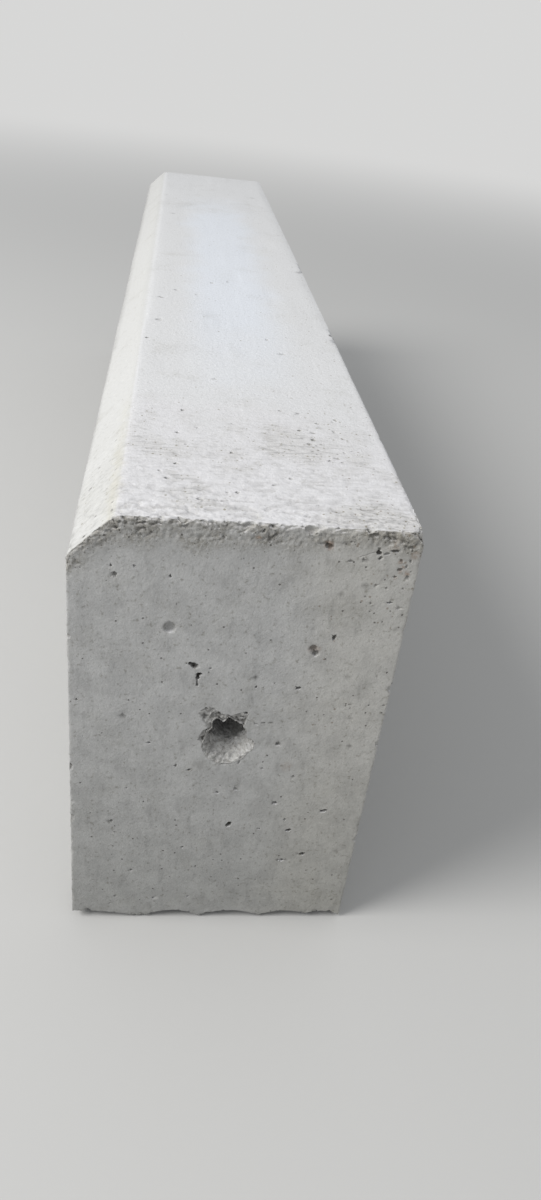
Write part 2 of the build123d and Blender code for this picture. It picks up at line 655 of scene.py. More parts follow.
WEAR = (
    Wear(Where.TOP, Where.NEAR_END, 1.4, 6.5, 6.5, 1.0, lean=1.5, soft=1.6, torn=0.45),
    Wear(Where.CHAMFER, Where.NEAR_END, 0.8, 2.2, 7.0, 2.0, lean=1.2, soft=1.0, torn=0.5),
    Wear(Where.NEAR_END, Where.ROAD_FACE, 0.4, 1.4, 9.0, 3.0),
    Wear(Where.NEAR_END, Where.BACK, 0.4, 2.2, 8.0, 4.0),
    Wear(Where.NEAR_END, Where.BED, 0.5, 5.0, 4.0, 5.0),
    Wear(Where.TOP, Where.BACK, 0.6, 2.6, 9.0, 6.0),
    Wear(Where.FAR_END, Where.TOP, 0.7, 2.4, 9.0, 7.0),
    Wear(Where.FAR_END, Where.CHAMFER, 0.7, 2.2, 8.0, 8.0),
    Wear(Where.FAR_END, Where.ROAD_FACE, 0.6, 1.8, 9.0, 9.0),
    Wear(Where.FAR_END, Where.BACK, 0.6, 1.8, 9.0, 10.0),
    Wear(Where.FAR_END, Where.BED, 0.6, 2.6, 9.0, 11.0),
    Wear(Where.ROAD_FACE, Where.BED, 0.9, 2.8, 14.0, 12.0),
    Wear(Where.BACK, Where.BED, 0.9, 2.8, 14.0, 13.0),
)


@dataclass(frozen=True)
class BedHollow:
    """A hollow that the strike-off left under the near edge of the bed.

    Attributes:
        from_road: Where its middle lies from the road face, in millimetres.
        span: Its width along the edge.
        rise: How high it reaches at the near end.
    """

    from_road: float
    span: float
    rise: float


@dataclass(frozen=True)
class PinHole:
    """The blind round hole in one end that takes the pin of a kerb lifter.

    Attributes:
        side: The end that it is in.
        height: The height of its axis above the bed, in millimetres.
        radius: Its radius.
        depth: Its depth from the end face.
        mouth_depth: How deep its wider mouth runs.
        rim: How far the mouth's rim reaches from the axis, in millimetres, at angles in degrees
            from +X, as seen from the front.
        rough: How rough its wall is, in millimetres.
        flaked: How wide a strip of the skin has flaked off round the rim, in millimetres, at
            angles in degrees.
        dark: How dark the shade painted into its inside is, from 0 to 1.
    """

    side: Where
    height: float
    radius: float
    depth: float
    mouth_depth: float
    rim: tuple[tuple[float, float], ...]
    rough: float
    flaked: tuple[tuple[float, float], ...] = ((0, 0.0), (180, 0.0))
    dark: float = 0.85

    def rim_reach(self, angle: np.ndarray) -> np.ndarray:
        """Measures how far the mouth's rim lies from the axis.

        Args:
            angle: Directions from the axis, in degrees.

        Returns:
            The rim's distance in each direction, in millimetres.
        """
        turns, reaches = np.array(self.rim).T
        return np.interp(angle % 360.0, turns, reaches, period=360.0)

    def flake_width(self, angle: np.ndarray) -> np.ndarray:
        """Measures how wide the flaked strip round the rim is.

        Args:
            angle: Directions from the axis, in degrees.

        Returns:
            The strip's width in each direction, in millimetres.
        """
        turns, widths = np.array(self.flaked).T
        return np.interp(angle % 360.0, turns, widths, period=360.0)


NEAR_PIN_HOLE = PinHole(
    side=Where.NEAR_END,
    height=135.0,
    radius=9.0,
    depth=45.0,
    mouth_depth=7.5,
    rim=(
        (0, 9.1), (13, 9.1), (33, 9.5), (51, 9.7), (65, 9.6), (74, 9.4), (80, 9.6),
        (84, 10.1), (88, 10.8), (91, 11.0), (94, 10.7), (97, 9.9), (101, 8.8), (107, 8.5),
        (113, 8.9), (115, 10.3), (118, 11.6), (122, 12.4), (128, 12.3), (135, 11.2), (142, 9.9),
        (150, 9.1), (160, 9.1), (169, 10.2), (180, 10.2), (200, 11.7), (210, 13.9), (230, 16.3),
        (241, 17.7), (264, 18.9), (283, 18.4), (304, 16.9), (315, 15.6), (327, 15.8), (337, 14.1),
        (347, 12.9), (351, 9.5),
    ),
    rough=0.8,
    flaked=(
        (40, 0.0), (47, 2.4), (53, 5.2), (61, 7.6), (70, 5.6), (80, 3.4), (88, 0.8),
        (97, 2.6), (105, 6.2), (116, 8.0), (124, 8.4), (135, 11.0), (141, 8.6), (149, 4.4),
        (158, 1.6), (180, 2.8), (195, 3.8), (206, 0.0),
    ),
    dark=0.25,
)

FAR_PIN_HOLE = PinHole(
    side=Where.FAR_END,
    height=135.0,
    radius=9.0,
    depth=45.0,
    mouth_depth=3.0,
    rim=((0, 11.5), (180, 11.5)),
    rough=0.1,
)


def spalls() -> list[AirHole]:
    """Lists the splinters that have come off round the mouth of the near pin hole.

    Returns:
        The hollows that they left.
    """
    end = Where.NEAR_END
    return [
        AirHole(end, 63.8, 145.6, 2.0, 2.2, 0.9, turn=35, dark=0.55),
        AirHole(end, 63.8, 150.6, 1.5, 2.0, 0.7, turn=10, dark=0.4),
        AirHole(end, 67.0, 150.4, 2.8, 0.9, 0.7, turn=8, dark=0.45),
        AirHole(end, 66.9, 146.8, 1.6, 2.6, 0.8, turn=-30, dark=0.45),
        AirHole(end, 70.2, 148.2, 1.3, 2.2, 0.8, turn=20, dark=0.45),
        AirHole(end, 82.7, 148.7, 2.0, 1.8, 1.2, turn=15, dark=0.8),
        AirHole(end, 79.0, 148.0, 3.2, 0.8, 0.7, turn=18, dark=0.5),
        AirHole(end, 81.3, 146.2, 2.6, 1.2, 0.9, turn=20, dark=0.6),
        AirHole(end, 88.2, 142.2, 2.2, 0.9, 0.5, turn=-15, dark=0.3),
        AirHole(end, 91.4, 143.0, 2.4, 1.0, 0.6, turn=5, dark=0.45),
        AirHole(end, 94.6, 143.1, 1.8, 0.9, 0.5, dark=0.35),
        AirHole(end, 74.5, 116.0, 4.0, 1.0, 0.6, turn=4, dark=0.5),
        AirHole(end, 82.0, 117.5, 1.2, 3.0, 0.6, turn=-20, dark=0.4),
        AirHole(end, 87.4, 130.5, 1.0, 2.8, 0.6, turn=5, dark=0.4),
    ]


BED_HOLLOWS = (
    BedHollow(5.0, 66.0, 3.7),
    BedHollow(54.5, 32.0, 4.2),
    BedHollow(86.5, 38.0, 4.0),
    BedHollow(118.0, 34.0, 3.9),
    BedHollow(138.5, 26.0, 3.8),
)
# How far the hollows run out under the stone, and how high above the bed the skin still moves.
HOLLOW_REACH = 45.0 * MM
HOLLOW_FADE = 26.0 * MM

# The names of the marks that the relief leaves on the skin; the first is shade painted into hollows.
MARKS = ("painted_shade", "broken", "porous", "scaly", "stain")

# The sizes that facets come down to as they are halved.
MEDIUM = 5.0 * MM
SMALL = 2.5 * MM
FINE = 1.25 * MM
VERY_FINE = 0.63 * MM
FINEST = 0.32 * MM
# The facets of the top and the chamfer, by how far from the near end they still reach.
UPPER_SIZES = (
    (math.inf, MEDIUM),
    (260 * MM, SMALL),
    (90 * MM, FINE),
    (15 * MM, VERY_FINE),
)
# How many facets go across a hole, and the largest facet in one, where it is seen or hidden.
SEEN_HOLE = (5.0, 0.7 * MM)
HIDDEN_HOLE = (3.6, 1.3 * MM)
SEEN_SIDES = (Where.NEAR_END, Where.TOP, Where.CHAMFER)
# The facets of a pin hole.
PIN_HOLE_SIZES = ((NEAR_PIN_HOLE, FINEST), (FAR_PIN_HOLE, 0.8 * MM))
# How far the fine facets reach from the edges, from the chamfer's crest and round a hole's rim.
EDGE_REACH = 2.2 * MM
CREST_REACH = 2.5 * MM
RIM_MARGIN = 1.6
# How far below the upper edge the near end's pores are carved.
PORES_REACH = 11 * MM
# How wide the band of pores is, and how deep they are, by the distance from the road face in
# millimetres: both are shares of their full measure.
BAND_WIDTHS = ((0, 0.7), (18, 0.65), (26, 1.15), (70, 1.1), (105, 1.0), (120, 0.8), (150, 0.85))
PORE_DEPTHS = ((0, 0.45), (20, 0.6), (28, 1.0))
# Drawn holes stay this far from the axis of a pin hole, and its mouth reaches no further than
# this, in millimetres.
CLEAR_OF_PIN_HOLE = 24.0
WIDEST_MOUTH = 20
# The facets of the end face up to this share of a pin hole's rim make its wall and its floor.
MOUTH_SHARE = 0.4
# The stone's edges and holes are smooth up to this angle between facets, in degrees.
SMOOTH_UP_TO = 58


@dataclass
class KerbSkin:
    """The stone's whole surface as one closed mesh, cut finer where its surface needs it.

    Attributes:
        form: The form as it left the mould.
        coarse: The size of a facet where nothing happens.
        rounds: How often a facet may be halved.
        oversize: A facet is halved when it is this many times its wanted size.
    """

    form: CastForm
    coarse: float = 10 * MM
    rounds: int = 5
    oversize: float = 1.3

    def __post_init__(self) -> None:
        """Gathers the sides and every hole of the stone."""
        self.sides: dict[Where, Side] = self.form.sides()
        self.pits: list[AirHole] = near_end_holes() + top_holes() + edge_chips() + spalls()
        for scatter in SCATTERS:
            self.pits += [hole for hole in scatter.holes() if not self.in_pin_hole(hole)]

    def in_pin_hole(self, hole: AirHole) -> bool:
        """Says whether a drawn hole would fall into one of the pin holes.

        Args:
            hole: The drawn hole.

        Returns:
            True where it would.
        """
        for pin_hole in (NEAR_PIN_HOLE, FAR_PIN_HOLE):
            gap = math.hypot(hole.across - self.form.middle, hole.along - pin_hole.height)
            if hole.side == pin_hole.side and gap < CLEAR_OF_PIN_HOLE:
                return True
        return False

    def block(self) -> bmesh.types.BMesh:
        """Makes the plain block, divided evenly.

        Returns:
            The block's skin, all quads.
        """
        skin = bmesh.new()
        size = self.form.high - self.form.low
        bmesh.ops.create_cube(skin, size=1.0)
        bmesh.ops.scale(skin, vec=size, verts=skin.verts)
        bmesh.ops.translate(skin, vec=(self.form.high + self.form.low) / 2, verts=skin.verts)
        for axis in range(3):
            rungs = []
            for edge in skin.edges:
                run = edge.verts[1].co - edge.verts[0].co
                if abs(run[axis]) > 0.9 * run.length:
                    rungs.append(edge)
            bmesh.ops.subdivide_edges(skin, edges=rungs, cuts=round(size[axis] / self.coarse) - 1)
        return skin

    def wanted_size(self, centres: np.ndarray) -> np.ndarray:
        """Says how small the facets have to be at each place.

        Args:
            centres: Places on the plain block.

        Returns:
            The wanted length of a facet's edge there, in metres.
        """
        places = self.form.chamfered(centres)
        depth = {name: side.depth(places) for name, side in self.sides.items()}
        upper_depth = np.minimum(depth[Where.TOP], depth[Where.CHAMFER])
        from_near = depth[Where.NEAR_END]
        on_near = from_near < 0.4 * MM
        on_upper = upper_depth < 0.5 * MM
        wanted = np.full(len(places), self.coarse)
        for reach, size in UPPER_SIZES:
            wanted[on_upper & (from_near < reach)] = size
        wanted[on_near] = SMALL
        wanted[on_near & (upper_depth < PORES_REACH)] = VERY_FINE
        for wear in WEAR:
            at_edge = np.maximum(depth[wear.first], depth[wear.second]) < EDGE_REACH
            wanted[at_edge] = np.minimum(wanted[at_edge], self.edge_size(wear, from_near[at_edge]))
        crest = np.abs(places[:, 0] - self.form.low.x - self.form.chamfer_on_top) < CREST_REACH
        crest_size = np.where(from_near < 400 * MM, FINE, SMALL)
        wanted = np.where(on_upper & crest, np.minimum(wanted, crest_size), wanted)
        return self.finer_at_holes(places, wanted)

    @staticmethod
    def edge_size(wear: Wear, from_near: np.ndarray) -> np.ndarray:
        """Says how small the facets of a worn edge have to be.

        Args:
            wear: The worn edge.
            from_near: How far each facet lies behind the near end, in metres.

        Returns:
            The wanted length of a facet's edge, in metres.
        """
        if Where.NEAR_END in (wear.first, wear.second):
            return np.full(len(from_near), VERY_FINE)
        if Where.TOP in (wear.first, wear.second):
            return np.where(from_near < 350 * MM, FINE, SMALL)
        return np.full(len(from_near), SMALL)

    def finer_at_holes(self, places: np.ndarray, wanted: np.ndarray) -> np.ndarray:
        """Asks for small facets round every hole and stain and along every crack.

        Args:
            places: Places on the stone.
            wanted: The facet sizes asked for so far.

        Returns:
            The facet sizes with the holes' and cracks' own.
        """
        for hole in self.pits:
            centre = np.array(self.sides[hole.side].place(hole.across, hole.along))
            near = np.abs(places - centre).max(axis=1) < hole.reach
            facets_across, largest = SEEN_HOLE if hole.side in SEEN_SIDES else HIDDEN_HOLE
            size = min(hole.width, hole.height) / facets_across * MM
            wanted[near] = np.minimum(wanted[near], np.clip(size, FINEST, largest))
        for stain in STAINS:
            centre = np.array(self.sides[stain.side].place(stain.across, stain.along))
            near = np.abs(places - centre).max(axis=1) < stain.size * MM
            wanted[near] = np.minimum(wanted[near], VERY_FINE)
        for crack in CRACKS:
            near = self.crack_distance(crack, places) < crack.width * MM
            wanted[near] = np.minimum(wanted[near], FINEST)
        for pin_hole, size in PIN_HOLE_SIZES:
            side = self.sides[pin_hole.side]
            across, along = side.spots(places)
            gap = np.hypot(across - self.form.middle, along - pin_hole.height)
            widest = max(reach for _, reach in pin_hole.rim) + RIM_MARGIN
            inside = (np.abs(side.depth(places)) < 0.5 * MM) & (gap < widest)
            wanted[inside] = np.minimum(wanted[inside], size)
        return wanted

    def crack_distance(self, crack: Crack, points: np.ndarray) -> np.ndarray:
        """Measures how far points lie from a crack.

        Args:
            crack: The crack.
            points: Points of the stone.

        Returns:
            Their distances, in metres.
        """
        side = self.sides[crack.side]
        nearest = np.full(len(points), np.inf)
        for start, end in zip(crack.path, crack.path[1:]):
            first = np.array(side.place(*start))
            run = np.array(side.place(*end)) - first
            share = np.clip((points - first) @ run / (run @ run), 0.0, 1.0)
            gap = np.linalg.norm(points - first - share[:, None] * run, axis=1)
            nearest = np.minimum(nearest, gap)
        return nearest

    def refine(self, skin: bmesh.types.BMesh) -> None:
        """Halves the facets that are larger than their place asks for, round after round.

        Facets with more than four sides are left where fine ones meet coarse ones. They are
        divided from their middles, so that the skin stays closed when it is cut into triangles.

        Args:
            skin: The plain block, changed in place.
        """
        finest = self.coarse / 2**self.rounds
        for _ in range(self.rounds):
            facets = list(skin.faces)
            lengths = np.sqrt([facet.calc_area() for facet in facets])
            divisible = np.flatnonzero(lengths > self.oversize * finest)
            centres = np.array([facets[index].calc_center_median() for index in divisible])
            large = divisible[lengths[divisible] > self.oversize * self.wanted_size(centres)]
            rims = {edge for index in large for edge in facets[index].edges}
            if not rims:
                break
            bmesh.ops.subdivide_edges(skin, edges=list(rims), cuts=1, use_grid_fill=True)
        many_sided = [facet for facet in skin.faces if len(facet.verts) > 4]
        bmesh.ops.poke(skin, faces=many_sided, center_mode="MEAN_WEIGHTED")

    def build(self) -> bpy.types.Object:
        """Makes the stone.

        Returns:
            The finished object, at the origin and linked to the scene.
        """
        skin = self.block()
        self.refine(skin)
        block_points = np.array([vertex.co for vertex in skin.verts])
        move(skin, self.form.cast(block_points))
        points, marks = Relief(self, skin).carve()
        move(skin, points)
        bmesh.ops.triangulate(skin, faces=skin.faces)
        bmesh.ops.recalc_face_normals(skin, faces=skin.faces)
        mesh = bpy.data.meshes.new("kerb_skin")
        skin.to_mesh(mesh)
        skin.free()
        for name, values in marks.items():
            layer = mesh.attributes.new(name, "FLOAT", "POINT")
            layer.data.foreach_set("value", values.astype(np.float32))
        mesh.shade_smooth()
        mesh.set_sharp_from_angle(angle=math.radians(SMOOTH_UP_TO))
        stone = bpy.data.objects.new("kerb_skin", mesh)
        bpy.context.collection.objects.link(stone)
        log.info("kerb skin: %d triangles", len(mesh.polygons))
        return stone


def move(skin: bmesh.types.BMesh, points: np.ndarray) -> None:
    """Sets the vertices of a mesh and brings its normals up to date.

    Args:
        skin: The mesh.
        points: One row for each vertex.
    """
    for vertex, point in zip(skin.verts, points):
        vertex.co = point
    skin.normal_update()


@dataclass
class Relief:
    """The relief of the stone: waves, grain, wear, holes and cracks, all cut into its skin.

    Attributes:
        skin: What the stone is made of.
        mesh: The cast form as a mesh, with one vertex for each carved point.
    """

    skin: KerbSkin
    mesh: bmesh.types.BMesh

    def __post_init__(self) -> None:
        """Reads the points and the outward directions of the cast form."""
        self.form = self.skin.form
        self.sides = self.skin.sides
        self.cast = np.array([vertex.co for vertex in self.mesh.verts])
        self.outward = np.array([vertex.normal for vertex in self.mesh.verts])
        self.points = self.cast.copy()
        self.depth = {name: side.depth(self.cast) for name, side in self.sides.items()}
        self.upper_depth = np.minimum(self.depth[Where.TOP], self.depth[Where.CHAMFER])
        self.marks = {name: np.zeros(len(self.cast)) for name in MARKS}
        self.crumbly = np.zeros(len(self.cast))

    def carve(self) -> tuple[np.ndarray, dict[str, np.ndarray]]:
        """Carves everything.

        Returns:
            The finished points, and the marks that the concrete's colour reads, by name.
        """
        self.add_waves()
        self.add_scales()
        for wear in WEAR:
            self.add_wear(wear)
        self.round_worn_corner()
        self.add_pores()
        self.add_crumbs()
        self.add_bed_hollows()
        for crack in CRACKS:
            self.add_crack(crack)
        for hole in self.skin.pits:
            self.add_hole(hole)
        for stain in STAINS:
            self.add_stain(stain)
        self.add_pin_hole(NEAR_PIN_HOLE)
        self.add_pin_hole(FAR_PIN_HOLE)
        self.points = np.clip(self.points, np.array(self.form.low), np.array(self.form.high))
        return self.points, self.marks

    def mark(self, name: str, where: np.ndarray, value: np.ndarray) -> None:
        """Raises a mark to a value where it is lower.

        Args:
            name: The mark's name.
            where: The numbers of the points.
            value: The value for each of them.
        """
        self.marks[name][where] = np.maximum(self.marks[name][where], value)

    def add_waves(self) -> None:
        """Adds the gentle waves of the mould and of the trowelled bed."""
        wave = 0.2 * MM
        ripple = 0.04 * MM
        trowel_mark = 1.1
        bed_skin = 1.2 * MM
        sink = wave * (1 + sample_noise(self.cast, 75, 11.0))
        sink += ripple * (1 + sample_noise(self.cast, 9, 12.0))
        bed = np.flatnonzero(self.depth[Where.BED] < bed_skin)
        flat = smooth_step(self.depth[Where.BED][bed], bed_skin, 0.2 * MM)
        trowelled = 0.5 + 0.5 * sample_noise(self.cast[bed], (24, 60, 24), 18.0)
        sink[bed] += flat * trowel_mark * MM * np.clip(trowelled, 0, 1)
        self.points -= self.outward * sink[:, None]

    def add_scales(self) -> None:
        """Makes the top's near part scaly, with ridges that run across it close to the edge."""
        from_near = self.depth[Where.NEAR_END]
        scaly_reach = 95 * MM
        reach_differs = 35 * MM
        chamfer_share = 0.55
        upper = smooth_step(self.upper_depth, 1.5 * MM, 0.3 * MM)
        limit = scaly_reach + reach_differs * sample_noise(self.cast * np.array((1, 0, 0)), 55, 19.0)
        weight = upper * smooth_step(from_near, limit, 12 * MM)
        weight *= np.where(self.depth[Where.CHAMFER] < 0.6 * MM, chamfer_share, 1.0)
        weight *= 0.25 + 0.75 * smooth_step(from_near, 1 * MM, 5 * MM)
        busy = np.flatnonzero(weight > 0.01)
        spots = self.cast[busy]
        # Ridges run across the stone at its edge, and turn into flakes behind it.
        edge = smooth_step(from_near[busy], 32 * MM, 8 * MM)
        ridges = sample_noise(spots, (13, 3.2, 5), 13.0) + 0.6 * sample_noise(spots, (5.5, 1.9, 3), 28.0)
        flakes = sample_noise(spots, (5.2, 3.2, 3.6), 14.0)
        grain = sample_noise(spots, 1.7, 15.0)
        pattern = (0.35 + 0.65 * edge) * ridges + 0.7 * (1 - 0.6 * edge) * flakes + 0.45 * grain
        valley = smooth_step(pattern, 0.05, -0.48)
        deepness = 0.16 + (0.4 + 0.4 * edge) * valley + 0.3 * edge * (1 + grain)
        sink = weight[busy] * MM * deepness
        self.points[busy] -= self.outward[busy] * sink[:, None]
        # The valleys are marked for the shade that the colour paints into them.
        self.mark("scaly", busy, weight[busy] * valley)

    def add_wear(self, wear: Wear) -> None:
        """Cuts the edge between two sides back and chips it.

        Args:
            wear: The edge and how it is worn.
        """
        slow = math.sqrt(wear.lean)
        # The gap is small near the edge, where both sides are near.
        gap = self.depth[wear.first] / slow + self.depth[wear.second] * slow
        deepest = (wear.base + wear.chips) * MM
        near = np.flatnonzero(gap < 1.3 * deepest)
        spots = self.cast[near]
        large = np.maximum(sample_noise(spots, wear.size, wear.seed) - 0.12, 0)
        small = np.maximum(sample_noise(spots, 0.36 * wear.size, wear.seed + 20) - 0.06, 0)
        bite = wear.base * MM + wear.chips * MM * (large + 0.55 * small)
        over = bite - gap[near]
        cut = (over + np.hypot(over, wear.soft * MM)) / 4
        away = np.array(self.sides[wear.first].inward) * slow
        away += np.array(self.sides[wear.second].inward) / slow
        self.points[near] += cut[:, None] * away
        torn = np.clip((bite - 0.6 * wear.base * MM) / (0.4 * deepest), 0, 1)
        torn = torn * smooth_step(cut, 0.2 * MM, 0.9 * MM)
        self.crumbly[near] = np.maximum(self.crumbly[near], torn)
        self.mark("broken", near, wear.torn * torn)

    def round_worn_corner(self) -> None:
        """Wears down the corner where the top, the back and the near end meet."""
        corner = np.array((self.form.high.x, self.form.low.y, self.form.high.z))
        into = np.array((-1.0, 1.0, -1.0)) / math.sqrt(3)
        furthest = 7 * MM
        worn_off = 4.4 * MM
        raggedness = 1.4 * MM
        behind = (self.cast - corner) @ into
        near = np.flatnonzero(behind < furthest)
        ragged = worn_off + raggedness * sample_noise(self.cast[near], 5, 31.0)
        cut = np.maximum(ragged - behind[near], 0) * 0.8
        self.points[near] += cut[:, None] * into

    def add_pores(self) -> None:
        """Opens the coarse pores in the band under the upper edge of the near end."""
        from_road = (self.cast[:, 0] - self.form.low.x) / MM
        limit = 13.5 + 4.5 * sample_noise(self.cast * np.array((1, 0, 0.6)), 13, 3.0)
        limit *= np.interp(from_road, *np.transpose(BAND_WIDTHS))
        band = smooth_step(self.upper_depth / MM, limit + 3.0, limit - 7.0)
        band *= smooth_step(self.depth[Where.NEAR_END], 1.4 * MM, 0.2 * MM)
        busy = np.flatnonzero(band > 0.02)
        spots = self.cast[busy]
        # Coarse and fine pores stand in clusters.
        coarse = sample_noise(spots, (3.6, 2.7, 2.4), 16.0)
        fine = sample_noise(spots, 1.4, 17.0)
        clusters = 0.4 + 1.5 * sample_noise(spots, 9.0, 27.0)
        pore = smooth_step(coarse + 0.8 * fine, 0.08, 0.6) * np.clip(clusters + 0.25, 0.1, 1.0)
        pore *= np.interp(from_road[busy], *np.transpose(PORE_DEPTHS))
        carved = band[busy] * smooth_step(self.upper_depth[busy], PORES_REACH, 8 * MM)
        inward = np.array(self.sides[Where.NEAR_END].inward)
        self.points[busy] += (carved * MM * (0.2 + 0.9 * pore + 0.35 * fine))[:, None] * inward
        self.mark("porous", busy, band[busy] * np.clip(0.6 + clusters * 0.55, 0.25, 1.0))
        # Shade is painted into the deeper pores under the upper edge.
        below_lip = smooth_step(self.upper_depth[busy], 0.8 * MM, 2.6 * MM)
        self.mark("painted_shade", busy, 0.5 * below_lip * carved * pore)

    def add_crumbs(self) -> None:
        """Roughens the broken concrete along the edges of the near end."""
        rough = self.crumbly * smooth_step(self.depth[Where.NEAR_END], 16 * MM, 7 * MM)
        busy = np.flatnonzero(rough > 0.02)
        spots = self.cast[busy]
        crumbs = 0.9 * sample_crumbs(spots, 3.4, 41.0) + 0.6 * sample_crumbs(spots, 1.5, 42.0)
        self.points[busy] += rough[busy, None] * crumbs * MM

    def add_bed_hollows(self) -> None:
        """Lifts the near edge of the bed into its hollows, and the skin just above with it."""
        behind = self.depth[Where.NEAR_END]
        from_road = self.cast[:, 0] - self.form.low.x
        rise = np.zeros(len(self.cast))
        for hollow in BED_HOLLOWS:
            # Each hollow is a round arch over its span.
            radius = (hollow.span**2 / 4 + hollow.rise**2) / (2 * hollow.rise) * MM
            off = from_road - hollow.from_road * MM
            roof = hollow.rise * MM * (1 - behind / HOLLOW_REACH) - off**2 / (2 * radius)
            rise = np.maximum(rise, roof)
        rise = np.maximum(1.25 * rise - 0.8 * MM, 0)
        level = self.cast[:, 2] - self.form.low.z
        self.points[:, 2] += rise * smooth_step(level, HOLLOW_FADE, 0.0)

    def add_crack(self, crack: Crack) -> None:
        """Opens a crack.

        Args:
            crack: The crack.
        """
        near = np.flatnonzero(self.skin.crack_distance(crack, self.cast) < 3 * crack.width * MM)
        wander = 0.5 * MM * sample_noise(self.cast[near], 2.5, 43.0)
        bent = self.cast[near] + wander[:, None] * np.array((0, 0, 1))
        gap = self.skin.crack_distance(crack, bent)
        open_share = smooth_step(gap, crack.width * MM * 0.6, 0.0)
        inward = np.array(self.sides[crack.side].inward)
        self.points[near] += open_share[:, None] * crack.depth * MM * inward
        # Shade is painted into the open crack.
        self.mark("painted_shade", near, open_share * crack.dark)

    def add_hole(self, hole: AirHole) -> None:
        """Sinks an air hole or a flake into its side.

        Args:
            hole: The hole.
        """
        side = self.sides[hole.side]
        centre = np.array(side.place(hole.across, hole.along))
        near = np.flatnonzero(np.abs(self.cast - centre).max(axis=1) < 1.2 * hole.reach)
        near = near[self.outward[near] @ np.array(side.inward) < -0.25]
        if not len(near):
            return
        # The hole is an ellipse, turned on its side and with a ragged outline.
        across, along = side.spots(self.cast[near])
        off_across = across - hole.across
        off_along = along - hole.along
        turn = math.radians(hole.turn)
        main = (off_across * math.cos(turn) + off_along * math.sin(turn)) / (hole.width / 2)
        other = (off_along * math.cos(turn) - off_across * math.sin(turn)) / (hole.height / 2)
        size = (hole.width + hole.height) / 2
        seed = hole.across + hole.along
        ragged = 0.34 * sample_noise(self.cast[near], 0.5 * size, seed)
        ragged += 0.16 * sample_noise(self.cast[near], 0.22 * size, seed + 7)
        reach = np.hypot(main, other) * (1 + hole.ragged * ragged)
        bowl = np.sqrt(np.clip(1 - reach**3, 0, 1))
        floor = 1 + 0.3 * sample_noise(self.cast[near], 0.35 * size, seed + 3)
        self.points[near] += (bowl * floor)[:, None] * hole.depth * MM * np.array(side.inward)
        # Shade is painted into the hole, darkest in its middle.
        self.mark("painted_shade", near, hole.dark * np.clip(2.0 * bowl - 0.3, 0, 1))

    def add_stain(self, stain: Stain) -> None:
        """Marks a stain.

        Args:
            stain: The stain.
        """
        side = self.sides[stain.side]
        across, along = side.spots(self.cast)
        gap = np.hypot(across - stain.across, along - stain.along)
        near = np.flatnonzero((gap < stain.size) & (side.depth(self.cast) < 4 * MM))
        ragged = gap[near] * (1 + 0.5 * sample_noise(self.cast[near], 0.5 * stain.size, stain.across))
        share = smooth_step(ragged, 0.62 * stain.size, 0.15 * stain.size)
        self.mark("stain", near, stain.strength * share)

    def add_pin_hole(self, pin_hole: PinHole) -> None:
        """Draws the end face in to a blind round hole with a wider mouth.

        The facets inside the rim are spread over the mouth, the wall and the floor of the hole.

        Args:
            pin_hole: The hole.
        """
        side = self.sides[pin_hole.side]
        across, along = side.spots(self.cast)
        off_across = across - self.form.middle
        off_along = along - pin_hole.height
        gap = np.hypot(off_across, off_along)
        inside = np.flatnonzero((side.depth(self.cast) < 0.2 * MM) & (gap < WIDEST_MOUTH))
        angle = np.degrees(np.arctan2(off_along[inside], off_across[inside]))
        rim = pin_hole.rim_reach(angle)
        rim += pin_hole.rough * 0.5 * sample_noise(self.cast[inside], 2.4, 51.0)
        share = gap[inside] / rim
        kept = share < 1.0
        outside = inside[~kept]
        self.flake_rim(pin_hole, outside, gap[outside] - rim[~kept], angle[~kept])
        inside, share, rim, angle = inside[kept], share[kept], rim[kept], angle[kept] % 360.0
        radius, deep = self.hole_profile(pin_hole, share, rim)
        to_rim = np.maximum(gap[inside], SMALLEST_GAP)
        way = np.outer(off_across[inside] / to_rim, np.array(side.across))
        way += np.outer(off_along[inside] / to_rim, np.array(side.along))
        middle = np.array(side.place(self.form.middle, pin_hole.height))
        placed = middle + (radius * MM)[:, None] * way + np.outer(deep * MM, np.array(side.inward))
        # The wall is rough where it has broken out, and calmer deep inside.
        rubble = 1.1 * sample_crumbs(placed, 4.2, 52.0) + 1.1 * sample_crumbs(placed, 1.9, 53.0)
        torn = smooth_step(share, 1.0, 0.9) * np.interp(deep, (0, 8, 16), (1.0, 1.0, 0.4))
        placed += torn[:, None] * pin_hole.rough * MM * rubble
        self.points[inside] += placed - self.cast[inside]
        # Shade is painted deep inside, in streaks down the left of the mouth, and under its upper lip.
        streaks = sample_noise(middle + 9 * MM * way, 1.7, 57.0) + 0.5 * sample_noise(placed, 2.2, 58.0)
        dark = smooth_step(deep + 4.0 * pin_hole.rough * streaks, 3.0, 17.0)
        left = smooth_step(np.abs(angle - 195.0), 65.0, 15.0) * smooth_step(share, 1.0, 0.6)
        lip = smooth_step(share, 0.82, 0.96) * smooth_step(np.abs(angle - 150.0), 80.0, 60.0)
        extra_shade = pin_hole.rough * np.maximum(left * (0.45 + 0.6 * streaks), 0.35 * lip)
        self.mark("painted_shade", inside, np.clip(pin_hole.dark * dark + extra_shade, 0, pin_hole.dark))
        self.mark("broken", inside, pin_hole.rough * (1 - 0.1 * dark))

